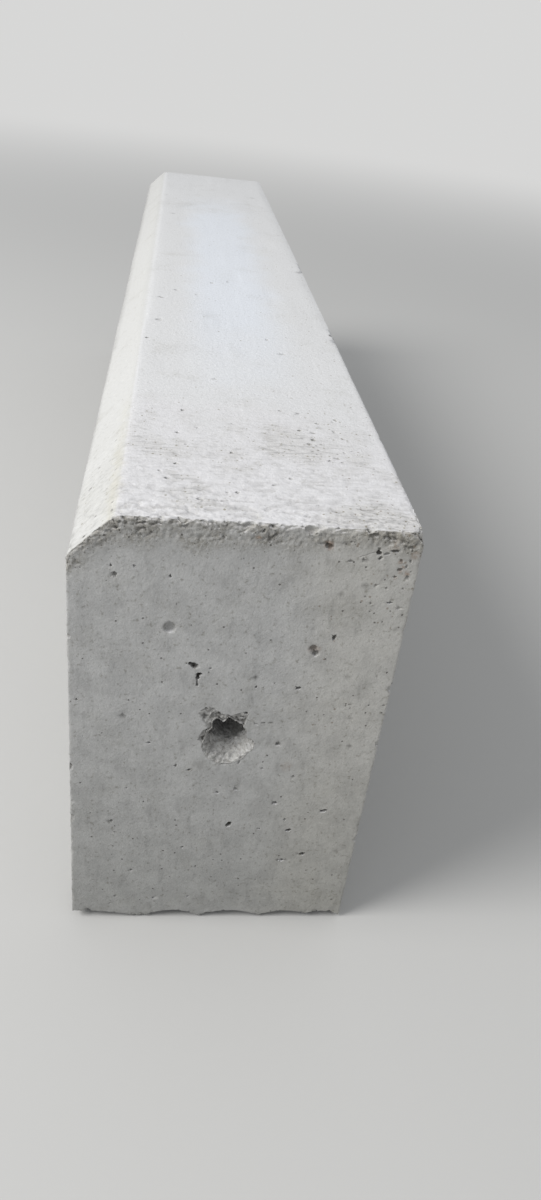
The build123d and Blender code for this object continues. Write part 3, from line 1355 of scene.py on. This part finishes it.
    @staticmethod
    def hole_profile(pin_hole: PinHole, share: np.ndarray, rim: np.ndarray) -> tuple[np.ndarray, np.ndarray]:
        """Says where the facets inside a pin hole's rim come to lie.

        The outer ones make the sloping mouth, the next ones the wall and the inmost the floor.

        Args:
            pin_hole: The hole.
            share: How far out each facet lies in the end face, from 0 on the axis to 1 on the rim.
            rim: The rim's distance from the axis in its direction, in millimetres.

        Returns:
            Each facet's distance from the axis and its depth, in millimetres.
        """
        in_mouth = share > MOUTH_SHARE
        mouth = np.clip((share - MOUTH_SHARE) / (1 - MOUTH_SHARE), 0, 1)
        wall = np.interp(share, (0.0, 0.10, 0.15, 0.36, MOUTH_SHARE), (0.0, 0.86, 0.97, 1.0, 1.0))
        wider = pin_hole.radius + (rim - pin_hole.radius) * mouth
        radius = np.where(in_mouth, wider, pin_hole.radius * wall)
        sloped = pin_hole.mouth_depth * (1 - mouth) ** 1.3
        behind_mouth = np.interp(
            share,
            (0.0, 0.10, 0.15, MOUTH_SHARE),
            (pin_hole.depth, 0.98 * pin_hole.depth, 0.93 * pin_hole.depth, pin_hole.mouth_depth),
        )
        return radius, np.where(in_mouth, sloped, behind_mouth)

    def flake_rim(self, pin_hole: PinHole, around: np.ndarray, gap: np.ndarray, angle: np.ndarray) -> None:
        """Sinks the strip of skin that has flaked off round a pin hole.

        Args:
            pin_hole: The hole.
            around: The numbers of the points round it.
            gap: How far each of them lies outside the rim, in millimetres.
            angle: Its direction from the axis, in degrees.
        """
        width = np.maximum(pin_hole.flake_width(angle), 0.01)
        flaked = gap < width
        around, share = around[flaked], gap[flaked] / width[flaked]
        spots = self.cast[around]
        splinters = sample_noise(spots, 2.6, 55.0) + 0.6 * sample_noise(spots, 1.2, 56.0)
        edge = smooth_step(share + 0.25 * splinters, 1.0, 0.75)
        sink = edge * (0.35 + 0.9 * (1 - share) + 0.75 * splinters) * MM
        self.points[around] += np.maximum(sink, 0)[:, None] * np.array(self.sides[pin_hole.side].inward)
        self.mark("broken", around, 0.7 * edge)
        # Shade is painted into the flaked strip, most in its deeper splinters and next to the rim.
        extra_shade = 0.16 + 0.6 * smooth_step(splinters, 0.0, 0.55) + 0.3 * smooth_step(share, 0.35, 0.0)
        self.mark("painted_shade", around, np.minimum(edge * extra_shade, 0.8))


Socket: TypeAlias = bpy.types.NodeSocket
Value: TypeAlias = "Socket | float | tuple[float, ...]"
Colour = tuple[float, float, float, float]

# How patterns are stretched: to run upright, along the stone and across it.
UPRIGHT = (1.0, 1.0, 0.35)
LENGTHWISE = (1.0, 0.12, 1.0)
CROSSWISE = (0.3, 1.4, 1.0)


def grey(level: float) -> Colour:
    """Gives a neutral colour.

    Args:
        level: How bright it is.

    Returns:
        The colour.
    """
    return (level, level, level, 1.0)


class Nodes:
    """A short hand for wiring a material's nodes."""

    def __init__(self, tree: bpy.types.NodeTree) -> None:
        """Keeps the tree and empties it.

        Args:
            tree: The tree to wire.
        """
        self.tree = tree
        tree.nodes.clear()

    def plug(self, value: Value, socket: Socket) -> None:
        """Puts a value, or a link from another socket, into a socket.

        Args:
            value: The value or the other socket.
            socket: The socket that takes it.
        """
        if isinstance(value, bpy.types.NodeSocket):
            self.tree.links.new(value, socket)
        else:
            socket.default_value = value

    def add(
        self,
        kind: str,
        inputs: dict[str | int, Value] | None = None,
        **settings: str,
    ) -> bpy.types.Node:
        """Adds a node.

        Args:
            kind: The node's type, without the ShaderNode in front.
            inputs: What goes into its sockets, by name or number: a value or another socket.
            **settings: The node's own settings.

        Returns:
            The node.
        """
        node = self.tree.nodes.new("ShaderNode" + kind)
        for name, value in settings.items():
            setattr(node, name, value)
        for socket, value in (inputs or {}).items():
            self.plug(value, node.inputs[socket])
        return node

    def math(self, operation: str, first: Value, second: Value = 0.0) -> Socket:
        """Adds one calculation.

        Args:
            operation: What is done with the values.
            first: The first value.
            second: The second value, where the operation takes two.

        Returns:
            Its result.
        """
        return self.add("Math", {0: first, 1: second}, operation=operation).outputs[0]

    def total(self, first: Value, second: Value) -> Socket:
        """Adds one value to another.

        Args:
            first: One value.
            second: The other.

        Returns:
            Their sum.
        """
        return self.math("ADD", first, second)

    def difference(self, first: Value, second: Value) -> Socket:
        """Takes one value from another.

        Args:
            first: The value that it is taken from.
            second: The value that is taken.

        Returns:
            What is left.
        """
        return self.math("SUBTRACT", first, second)

    def product(self, *factors: Value) -> Socket:
        """Multiplies two or more values.

        Args:
            *factors: The values.

        Returns:
            Their product.
        """
        result = factors[0]
        for factor in factors[1:]:
            result = self.math("MULTIPLY", result, factor)
        return result

    def ramp(self, value: Value, start: float, end: float) -> Socket:
        """Maps a value smoothly to 0 at start and 1 at end.

        Args:
            value: The value.
            start: Where the result leaves 0.
            end: Where it reaches 1. It may be less than start.

        Returns:
            The result, from 0 to 1.
        """
        inputs = {"Value": value, "From Min": start, "From Max": end}
        return self.add("MapRange", inputs, interpolation_type="SMOOTHSTEP").outputs["Result"]

    def mix(self, share: Value, first: Value, second: Value, blend: str = "MIX") -> Socket:
        """Mixes two colours.

        Args:
            share: How much of the second colour there is, from 0 to 1.
            first: One colour.
            second: The other.
            blend: How they are mixed.

        Returns:
            The colour that comes out.
        """
        node = self.add("Mix", data_type="RGBA", blend_type=blend)
        for socket, value in ((0, share), (6, first), (7, second)):
            self.plug(value, node.inputs[socket])
        return node.outputs[2]

    def tint(self, share: Value, colour: Value, factor: Value) -> Socket:
        """Multiplies a colour by another where something shows on it.

        Args:
            share: How strongly it shows, from 0 to 1.
            colour: The colour so far.
            factor: What it is multiplied by.

        Returns:
            The tinted colour.
        """
        return self.mix(share, colour, factor, "MULTIPLY")

    def noise(self, place: Value, scale: float, detail: float = 3.0, rough: float = 0.55) -> Socket:
        """Adds a noise pattern.

        Args:
            place: The place on the stone, stretched or not.
            scale: How many waves of it fit into a metre.
            detail: How many finer patterns are laid over it.
            rough: How strong the finer ones are.

        Returns:
            Its value, from 0 to 1 and mostly near a half.
        """
        inputs = {"Vector": place, "Scale": scale, "Detail": detail, "Roughness": rough}
        return self.add("TexNoise", inputs).outputs["Fac"]

    def stretched(self, place: Value, stretch: tuple[float, float, float]) -> Socket:
        """Stretches a place, so that a pattern on it runs in one direction.

        Args:
            place: The place on the stone.
            stretch: A factor for each axis: the pattern is long where it is small.

        Returns:
            The stretched place.
        """
        return self.add("VectorMath", {0: place, 1: stretch}, operation="MULTIPLY").outputs[0]

    def mark(self, name: str) -> Socket:
        """Reads one of the marks that the relief left on the skin.

        Args:
            name: The mark's name.

        Returns:
            Its value, from 0 to 1.
        """
        return self.add("Attribute", attribute_name=name).outputs["Fac"]


@dataclass(frozen=True)
class Pepper:
    """Tiny pits or specks, strewn by the material.

    Attributes:
        spacing: The mean distance between places for a speck, in millimetres.
        size: The radius of a speck, in millimetres.
        share: How many of the places hold one, from 0 to 1.
        colour: The colour of a speck.
    """

    spacing: float
    size: float
    share: float
    colour: Colour

    def strew(self, nodes: Nodes, place: Value, more: Value = 0.0) -> Socket:
        """Wires the specks.

        Args:
            nodes: The material's nodes.
            place: The place on the stone.
            more: What is added to the share, which may differ from place to place.

        Returns:
            1 in the middle of each speck and 0 outside.
        """
        warp = nodes.noise(place, 1200.0 / self.spacing, 2.0)
        shift = nodes.product(nodes.difference(warp, 0.5), 0.5 * self.size * MM)
        bent = nodes.add("VectorMath", {0: place, 1: shift}, operation="ADD").outputs[0]
        cells = nodes.add("TexVoronoi", {"Vector": bent, "Scale": 1000.0 / self.spacing}).outputs
        drawn = nodes.add("SeparateColor", {0: cells["Color"]}).outputs
        limit = nodes.difference(1.0 - self.share, more)
        chosen = nodes.math("GREATER_THAN", drawn["Red"], limit)
        reach = nodes.product(nodes.total(drawn["Green"], 0.5), self.size / self.spacing)
        near = nodes.difference(1.0, nodes.math("DIVIDE", cells["Distance"], reach))
        return nodes.product(chosen, nodes.ramp(near, 0.0, 0.45))


@dataclass(frozen=True)
class Tints:
    """What the colour of the concrete is multiplied by where something shows on it.

    Attributes:
        mottle: Pale clouds on the formed faces.
        runs: Pale, soft and upright runs on the long sides.
        foot: Painted shade that darkens the sides towards the bed.
        smudge: Smudges on the formed faces.
        smear: Thin upright smears.
        swept: Pale streaks along the top.
        dull: Dull streaks between them.
        worn: Patches of the near top that are worn down to the grain.
        crest: The yellowish strip along the chamfer's crest.
        scratch: Thin dark lines across the worn part.
        ridge: Thin pale lines between them.
        cloud: Faint clouds all over the stone.
        dark_grain: Dark grains of the cement skin.
        pale_grain: Its pale grains.
        scaly: Painted shade in the valleys between the scales of the top.
        crumb: Grains in broken concrete.
        band: The porous band.
    """

    mottle: Colour = grey(1.17)
    runs: Colour = grey(1.14)
    foot: Colour = (0.80, 0.80, 0.785, 1.0)
    smudge: Colour = (0.91, 0.905, 0.89, 1.0)
    smear: Colour = grey(0.86)
    swept: Colour = grey(1.045)
    dull: Colour = grey(0.96)
    worn: Colour = (0.89, 0.885, 0.865, 1.0)
    crest: Colour = (0.965, 0.95, 0.895, 1.0)
    scratch: Colour = grey(0.68)
    ridge: Colour = grey(1.06)
    cloud: Colour = (0.90, 0.895, 0.88, 1.0)
    dark_grain: Colour = (0.70, 0.69, 0.66, 1.0)
    pale_grain: Colour = grey(1.10)
    scaly: Colour = (0.80, 0.795, 0.785, 1.0)
    crumb: Colour = (0.72, 0.70, 0.67, 1.0)
    band: Colour = (0.66, 0.64, 0.60, 1.0)


@dataclass(frozen=True)
class Spot:
    """Where a point of the surface lies and how it faces, as the material's nodes know it.

    Attributes:
        place: Its place on the stone, in metres.
        x: Its distance from the middle plane, towards the back.
        y: Its distance from the stone's middle, away from the near end.
        z: Its height above the bed.
        facing_x: How far it faces the back, from -1 to 1.
        upward: How far it faces up, from 0 to 1.
    """

    place: Socket
    x: Socket
    y: Socket
    z: Socket
    facing_x: Socket
    upward: Socket

    @classmethod
    def read(cls, nodes: Nodes) -> Spot:
        """Wires the nodes that know the place.

        Args:
            nodes: The material's nodes.

        Returns:
            What they say.
        """
        known = nodes.add("TexCoord").outputs
        facing = nodes.add("SeparateXYZ", {0: known["Normal"]}).outputs
        parts = nodes.add("SeparateXYZ", {0: known["Object"]}).outputs
        upward = nodes.ramp(facing["Z"], 0.35, 0.75)
        return cls(known["Object"], parts["X"], parts["Y"], parts["Z"], facing["X"], upward)


@dataclass(frozen=True)
class ConcreteFinish:
    """The look of the stone's concrete.

    Attributes:
        formed: Colour of the faces that lay against the mould.
        formed_warm: Their warmer, yellowish patches towards the back.
        dusty: Colour of the weathered top.
        painted_sheen: Its bluish middle, a painted reflection of the sky.
        scaled: Its near part, where the skin has scaled.
        chamfer: Colour of the chamfer.
        torn: Colour of freshly broken concrete, with painted shade for its hollows.
        torn_lit: Its colour with a painted highlight, for the grains that stand out.
        painted_shade: Colour of the shade painted deep inside holes, pores and cracks.
        rust: Colour of the rust and clay stains.
        tints: What these colours are multiplied by where something shows on them.
        roughness: Roughness of the surface.
        specular: Strength of its weak gloss.
        pits: Tiny voids in the formed faces, painted dark for their shade.
        sand: Specks of dark sand.
        clay: Brown specks, which only lie where they are asked for.
        grit: Pits between the grains of the top, where its skin is worn.
        pores: Fine pores under the upper edge of the near end, painted dark for their shade.
    """

    formed: Colour = (0.376, 0.377, 0.374, 1.0)
    formed_warm: Colour = (0.392, 0.387, 0.370, 1.0)
    dusty: Colour = (0.585, 0.59, 0.60, 1.0)
    painted_sheen: Colour = (0.607, 0.632, 0.675, 1.0)
    scaled: Colour = (0.590, 0.589, 0.604, 1.0)
    chamfer: Colour = (0.518, 0.520, 0.514, 1.0)
    torn: Colour = (0.275, 0.27, 0.258, 1.0)
    torn_lit: Colour = (0.475, 0.472, 0.456, 1.0)
    painted_shade: Colour = (0.05, 0.046, 0.04, 1.0)
    rust: Colour = (0.21, 0.135, 0.09, 1.0)
    tints: Tints = Tints()
    roughness: float = 0.92
    specular: float = 0.2
    pits: Pepper = Pepper(5.2, 0.42, 0.42, colour=painted_shade)
    sand: Pepper = Pepper(2.4, 0.26, 0.42, colour=(0.22, 0.20, 0.17, 1.0))
    clay: Pepper = Pepper(3.1, 0.55, 0.0, colour=(0.17, 0.13, 0.095, 1.0))
    grit: Pepper = Pepper(2.3, 0.55, 0.02, colour=(0.25, 0.235, 0.19, 1.0))
    pores: Pepper = Pepper(1.8, 0.46, 0.0, colour=(0.085, 0.08, 0.07, 1.0))

    def material(self) -> bpy.types.Material:
        """Wires the concrete.

        Returns:
            The material.
        """
        concrete = bpy.data.materials.new("cast_concrete")
        concrete.use_nodes = True
        nodes = Nodes(concrete.node_tree)
        spot = Spot.read(nodes)
        # Pits and clay specks crowd towards the upper corner on the back's side.
        crowd = nodes.product(
            nodes.ramp(spot.x, 0.02, 0.065),
            nodes.ramp(spot.z, 0.12, 0.2),
            0.45,
        )
        pits = self.pits.strew(nodes, spot.place, crowd)
        pits = nodes.product(pits, nodes.difference(1.0, nodes.product(spot.upward, 0.75)))
        formed = self.formed_faces(nodes, spot)
        upper = self.upper_faces(nodes, spot)
        colour = nodes.mix(spot.upward, formed, upper)
        colour = self.stains(nodes, spot, colour)
        crowd = nodes.product(crowd, nodes.noise(spot.place, 60.0), 1.6)
        clay = self.clay.strew(nodes, spot.place, crowd)
        colour = nodes.mix(nodes.product(clay, 0.55), colour, self.clay.colour)
        # The tiny voids are painted dark for their shade.
        colour = nodes.mix(nodes.product(pits, 0.72), colour, self.pits.colour)
        colour = self.marks(nodes, spot, colour)
        shader = nodes.add(
            "BsdfPrincipled",
            {"Base Color": colour, "Roughness": self.roughness, "Specular IOR Level": self.specular},
        )
        nodes.plug(self.grain(nodes, spot, pits), shader.inputs["Normal"])
        nodes.add("OutputMaterial", {"Surface": shader.outputs[0]})
        return concrete

    def formed_faces(self, nodes: Nodes, spot: Spot) -> Socket:
        """Colours the faces that lay against the mould.

        Args:
            nodes: The material's nodes.
            spot: The place on the stone.

        Returns:
            The colour.
        """
        cloud = nodes.noise(spot.place, 14.0, 4.0)
        towards_back = nodes.total(spot.x, nodes.product(cloud, 0.05))
        warm = nodes.ramp(towards_back, 0.03, 0.08)
        colour = nodes.mix(warm, self.formed, self.formed_warm)
        # The long sides are calmer than the near end.
        calm = nodes.ramp(spot.y, -0.498, -0.47)
        bold = nodes.difference(1.0, nodes.product(calm, 0.6))
        mottle = nodes.ramp(nodes.noise(spot.place, 70.0, 6.0, 0.65), 0.36, 0.64)
        colour = nodes.tint(nodes.product(mottle, bold), colour, self.tints.mottle)
        runs = nodes.noise(nodes.stretched(spot.place, UPRIGHT), 11.0, 5.0, 0.6)
        runs = nodes.product(nodes.ramp(runs, 0.56, 0.40), calm)
        colour = nodes.tint(runs, colour, self.tints.runs)
        # Painted shade darkens the sides towards the bed.
        foot = nodes.total(spot.z, nodes.product(cloud, 0.06))
        colour = nodes.tint(nodes.ramp(foot, 0.21, 0.03), colour, self.tints.foot)
        smudge = nodes.ramp(nodes.noise(spot.place, 42.0, 8.0, 0.72), 0.50, 0.72)
        colour = nodes.tint(nodes.product(smudge, bold), colour, self.tints.smudge)
        smear = nodes.noise(nodes.stretched(spot.place, UPRIGHT), 160.0, 4.0, 0.6)
        return nodes.tint(nodes.ramp(smear, 0.53, 0.70), colour, self.tints.smear)

    def upper_faces(self, nodes: Nodes, spot: Spot) -> Socket:
        """Colours the weathered top and the chamfer.

        Args:
            nodes: The material's nodes.
            spot: The place on the stone.

        Returns:
            The colour.
        """
        patch = nodes.noise(spot.place, 20.0, 5.0, 0.6)
        from_middle = nodes.math("ABSOLUTE", nodes.difference(spot.x, 0.008))
        from_middle = nodes.total(from_middle, nodes.product(patch, 0.035))
        along = nodes.total(spot.y, nodes.product(patch, 0.2))
        # A painted reflection of the sky makes the middle of the top bluish.
        painted_sheen = nodes.product(
            nodes.ramp(from_middle, 0.062, 0.030),
            nodes.ramp(along, -0.30, -0.06),
            nodes.ramp(along, 0.46, 0.26),
        )
        colour = nodes.mix(painted_sheen, self.dusty, self.painted_sheen)
        colour = nodes.mix(nodes.ramp(along, -0.22, -0.34), colour, self.scaled)
        streak = nodes.noise(nodes.stretched(spot.place, LENGTHWISE), 95.0, 4.0, 0.55)
        colour = nodes.tint(nodes.ramp(streak, 0.55, 0.78), colour, self.tints.swept)
        colour = nodes.tint(nodes.ramp(streak, 0.45, 0.25), colour, self.tints.dull)
        chamfered = nodes.ramp(spot.facing_x, -0.22, -0.5)
        colour = nodes.mix(chamfered, colour, self.chamfer)
        return self.worn_part(nodes, spot, along, chamfered, colour)

    def worn_part(self, nodes: Nodes, spot: Spot, along: Value, chamfered: Value, colour: Value) -> Socket:
        """Wears the near part of the top and the chamfer down to their grain.

        Args:
            nodes: The material's nodes.
            spot: The place on the stone.
            along: Its distance from the stone's middle, with a ragged limit.
            chamfered: 1 on the chamfer and 0 on the top.
            colour: The colour so far.

        Returns:
            The colour.
        """
        near = nodes.ramp(along, -0.23, -0.37)
        worn = nodes.ramp(nodes.noise(spot.place, 27.0, 7.0, 0.68), 0.45, 0.58)
        worn = nodes.product(worn, nodes.difference(1.0, nodes.product(chamfered, 0.65)))
        thin = nodes.noise(nodes.stretched(spot.place, CROSSWISE), 380.0, 6.0, 0.68)
        colour = nodes.tint(nodes.product(near, worn), colour, self.tints.worn)
        from_crest = nodes.math("ABSOLUTE", nodes.total(spot.x, 0.057))
        wander = nodes.product(nodes.noise(spot.place, 160.0, 5.0, 0.7), 0.012)
        from_crest = nodes.total(from_crest, wander)
        crest = nodes.product(nodes.ramp(from_crest, 0.0105, 0.0055), near)
        colour = nodes.tint(crest, colour, self.tints.crest)
        streaky = nodes.product(near, nodes.total(0.2, nodes.product(worn, 0.8)))
        scratch = nodes.product(nodes.ramp(thin, 0.50, 0.64), streaky)
        colour = nodes.tint(scratch, colour, self.tints.scratch)
        ridge = nodes.product(nodes.ramp(thin, 0.48, 0.36), near)
        colour = nodes.tint(ridge, colour, self.tints.ridge)
        crowd = nodes.math("MAXIMUM", nodes.product(near, worn, 0.95), nodes.product(crest, 0.4))
        grit = self.grit.strew(nodes, spot.place, crowd)
        grit = nodes.product(grit, nodes.difference(0.85, nodes.product(chamfered, 0.3)))
        return nodes.mix(grit, colour, self.grit.colour)

    def stains(self, nodes: Nodes, spot: Spot, colour: Value) -> Socket:
        """Adds faint clouds and specks of sand.

        Args:
            nodes: The material's nodes.
            spot: The place on the stone.
            colour: The colour so far.

        Returns:
            The colour.
        """
        cloud = nodes.noise(spot.place, 30.0, 6.0, 0.65)
        colour = nodes.tint(nodes.ramp(cloud, 0.52, 0.76), colour, self.tints.cloud)
        clear = nodes.difference(1.0, nodes.product(spot.upward, 0.55))
        speck = nodes.noise(spot.place, 480.0, 3.0, 0.6)
        dark_speck = nodes.product(nodes.ramp(speck, 0.55, 0.73), clear)
        colour = nodes.tint(dark_speck, colour, self.tints.dark_grain)
        colour = nodes.tint(nodes.ramp(speck, 0.42, 0.26), colour, self.tints.pale_grain)
        sand = nodes.product(self.sand.strew(nodes, spot.place), clear, 0.42)
        return nodes.mix(sand, colour, self.sand.colour)

    def marks(self, nodes: Nodes, spot: Spot, colour: Value) -> Socket:
        """Colours what the relief marked: scales, the porous band, broken concrete, holes and stains.

        Args:
            nodes: The material's nodes.
            spot: The place on the stone.
            colour: The colour so far.

        Returns:
            The colour.
        """
        gravel = nodes.noise(spot.place, 520.0, 4.0, 0.65)
        # Painted shade darkens the valleys between the scales.
        scaly = nodes.product(nodes.mark("scaly"), 0.7)
        colour = nodes.tint(scaly, colour, self.tints.scaly)
        # Broken concrete takes painted shade and painted highlights by noise, for its crumbs.
        torn = nodes.mix(nodes.ramp(gravel, 0.42, 0.58), self.torn, self.torn_lit)
        colour = nodes.mix(nodes.product(nodes.mark("broken"), 0.7), colour, torn)
        crumb = nodes.ramp(nodes.noise(spot.place, 800.0, 4.0, 0.7), 0.5, 0.62)
        crumb = nodes.product(crumb, nodes.mark("broken"))
        colour = nodes.tint(crumb, colour, self.tints.crumb)
        porous = nodes.mark("porous")
        band = nodes.product(porous, nodes.total(0.4, nodes.ramp(gravel, 0.35, 0.62)))
        colour = nodes.tint(nodes.product(band, 0.85), colour, self.tints.band)
        # The fine pores are painted dark for their shade.
        pores = self.pores.strew(nodes, spot.place, nodes.product(porous, 0.85))
        colour = nodes.mix(nodes.product(pores, 0.62), colour, self.pores.colour)
        stain = nodes.product(nodes.mark("stain"), nodes.ramp(gravel, 0.3, 0.55))
        colour = nodes.mix(nodes.product(stain, 0.85), colour, self.rust)
        # Painted shade darkens the holes, pores and cracks that the relief marked, in blotches.
        blotch = nodes.ramp(nodes.noise(spot.place, 330.0, 5.0, 0.7), 0.36, 0.62)
        painted_shade_share = nodes.product(nodes.mark("painted_shade"), nodes.total(0.62, nodes.product(blotch, 0.5)))
        return nodes.mix(painted_shade_share, colour, self.painted_shade)

    def grain(self, nodes: Nodes, spot: Spot, pits: Value) -> Socket:
        """Makes the fine grain of the cement skin and the sand that shows on the top.

        Args:
            nodes: The material's nodes.
            spot: The place on the stone.
            pits: Where the tiny voids are.

        Returns:
            The bent normal.
        """
        fine = nodes.noise(spot.place, 900.0, 4.0, 0.6)
        sand = nodes.noise(spot.place, 380.0, 4.0, 0.65)
        rubble = nodes.noise(spot.place, 620.0, 3.0, 0.7)
        rough = nodes.math("MAXIMUM", nodes.mark("broken"), nodes.mark("porous"))
        height = nodes.product(sand, nodes.total(0.5, nodes.product(spot.upward, 0.2)))
        height = nodes.total(height, nodes.product(fine, 0.4))
        height = nodes.total(height, nodes.product(rubble, rough, 1.6))
        height = nodes.difference(height, nodes.product(pits, 0.8))
        bump = nodes.add("Bump", {"Height": height, "Strength": 0.6, "Distance": 0.9 * MM})
        return bump.outputs[0]


@dataclass(frozen=True)
class Studio:
    """A plain pale floor, soft light and the camera.

    Attributes:
        lens: Focal length on a 36 mm sensor, in millimetres.
        camera_place: Where the camera stands.
        camera_right: The camera's right-hand direction.
        camera_up: Its upward direction.
        camera_back: The direction out of its back.
        backdrop: Colour of the floor far away and of the sky behind.
        floor_colour: Colour of the floor near the stone.
        floor_radius: Radius of the floor, in metres.
        floor_fade: Where it begins and ends to turn into the backdrop, in metres from the stone.
        sky_colour: Colour of the even light from all round.
        sky_strength: Strength of that light.
        lamp_place: Where the wide lamp hangs, above the road side.
        lamp_aim: What it points at.
        lamp_size: Its diameter, in metres.
        lamp_power: Its power, in watts.
        lamp_colour: Its colour.
    """

    lens: float = 26.30
    camera_place: Vector = Vector((-0.0359, -0.8157, 0.4160))
    camera_right: Vector = Vector((0.99078, -0.08090, 0.10869))
    camera_up: Vector = Vector((-0.04727, 0.54546, 0.83680))
    camera_back: Vector = Vector((-0.12698, -0.83422, 0.53661))
    backdrop: Colour = (0.68, 0.68, 0.675, 1.0)
    floor_colour: Colour = (0.50, 0.50, 0.495, 1.0)
    floor_radius: float = 40.0
    floor_fade: tuple[float, float] = (0.8, 4.0)
    sky_colour: Colour = (0.97, 0.985, 1.0, 1.0)
    sky_strength: float = 0.62
    lamp_place: Vector = Vector((-2.2, -1.0, 2.1))
    lamp_aim: Vector = Vector((0.0, -0.2, 0.15))
    lamp_size: float = 1.6
    lamp_power: float = 92.0
    lamp_colour: tuple[float, float, float] = (1.0, 0.985, 0.96)

    def build(self) -> None:
        """Makes the floor, the light and the camera."""
        bpy.context.scene.view_settings.view_transform = "Standard"
        self.floor()
        self.sky()
        self.lamp()
        self.camera()

    def floor(self) -> None:
        """Makes the floor, a wide disc that fades into the backdrop."""
        shape = bmesh.new()
        bmesh.ops.create_circle(shape, cap_ends=True, segments=96, radius=self.floor_radius)
        mesh = bpy.data.meshes.new("floor")
        shape.to_mesh(mesh)
        shape.free()
        ground = bpy.data.objects.new("floor", mesh)
        bpy.context.collection.objects.link(ground)
        ground.data.materials.append(self.floor_finish())

    def floor_finish(self) -> bpy.types.Material:
        """Makes the floor's finish: matt near the stone, the plain backdrop colour far away.

        Returns:
            The material.
        """
        finish = bpy.data.materials.new("pale_floor")
        finish.use_nodes = True
        nodes = Nodes(finish.node_tree)
        place = nodes.add("TexCoord").outputs["Object"]
        distance = nodes.add("VectorMath", {0: place}, operation="LENGTH").outputs["Value"]
        matt = nodes.add("BsdfDiffuse", {"Color": self.floor_colour})
        glow = nodes.add("Emission", {"Color": self.backdrop, "Strength": 1.0})
        share = nodes.ramp(distance, *self.floor_fade)
        both = nodes.add("MixShader", {0: share, 1: matt.outputs[0], 2: glow.outputs[0]})
        nodes.add("OutputMaterial", {"Surface": both.outputs[0]})
        return finish

    def sky(self) -> None:
        """Lights the scene evenly and shows the backdrop colour to the camera."""
        world = bpy.data.worlds.new("soft_sky")
        bpy.context.scene.world = world
        world.use_nodes = True
        nodes = Nodes(world.node_tree)
        ray = nodes.add("LightPath").outputs
        seen = nodes.math("MAXIMUM", ray["Is Camera Ray"], ray["Is Glossy Ray"])
        seen = nodes.math("MAXIMUM", seen, ray["Is Transmission Ray"])
        light = nodes.add("Background", {"Color": self.sky_colour, "Strength": self.sky_strength})
        shown = nodes.add("Background", {"Color": self.backdrop, "Strength": 1.0})
        both = nodes.add("MixShader", {0: seen, 1: light.outputs[0], 2: shown.outputs[0]})
        nodes.add("OutputWorld", {"Surface": both.outputs[0]})

    def lamp(self) -> None:
        """Hangs one wide lamp above the road side."""
        light = bpy.data.lights.new("soft_lamp", "AREA")
        light.shape = "DISK"
        light.size = self.lamp_size
        light.energy = self.lamp_power
        light.color = self.lamp_colour
        lamp = bpy.data.objects.new("soft_lamp", light)
        lamp.location = self.lamp_place
        aim = self.lamp_aim - lamp.location
        lamp.rotation_mode = "QUATERNION"
        lamp.rotation_quaternion = aim.to_track_quat("-Z", "Y")
        bpy.context.collection.objects.link(lamp)

    def camera(self) -> None:
        """Sets the camera where the photograph was taken from."""
        eye = bpy.data.cameras.new("camera")
        eye.sensor_fit = "AUTO"
        eye.sensor_width = 36.0
        eye.lens = self.lens
        eye.clip_start = 0.01
        eye.clip_end = 100.0
        camera = bpy.data.objects.new("camera", eye)
        turn = Matrix((self.camera_right, self.camera_up, self.camera_back)).transposed()
        camera.rotation_mode = "QUATERNION"
        camera.rotation_quaternion = turn.to_quaternion()
        camera.location = self.camera_place
        bpy.context.collection.objects.link(camera)
        bpy.context.scene.camera = camera


def main() -> None:
    """Builds the dressed kerb stone and its studio."""
    logging.basicConfig(level=logging.INFO, format="%(name)s: %(message)s")
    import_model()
    low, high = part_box(NODE)
    form = CastForm(Vector(low), Vector(high))
    stone = KerbSkin(form).build()
    stone.data.materials.append(ConcreteFinish().material())
    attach(stone, "root")
    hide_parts(NODE)
    Studio().build()
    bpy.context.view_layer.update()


if __name__ == "__main__":
    main()
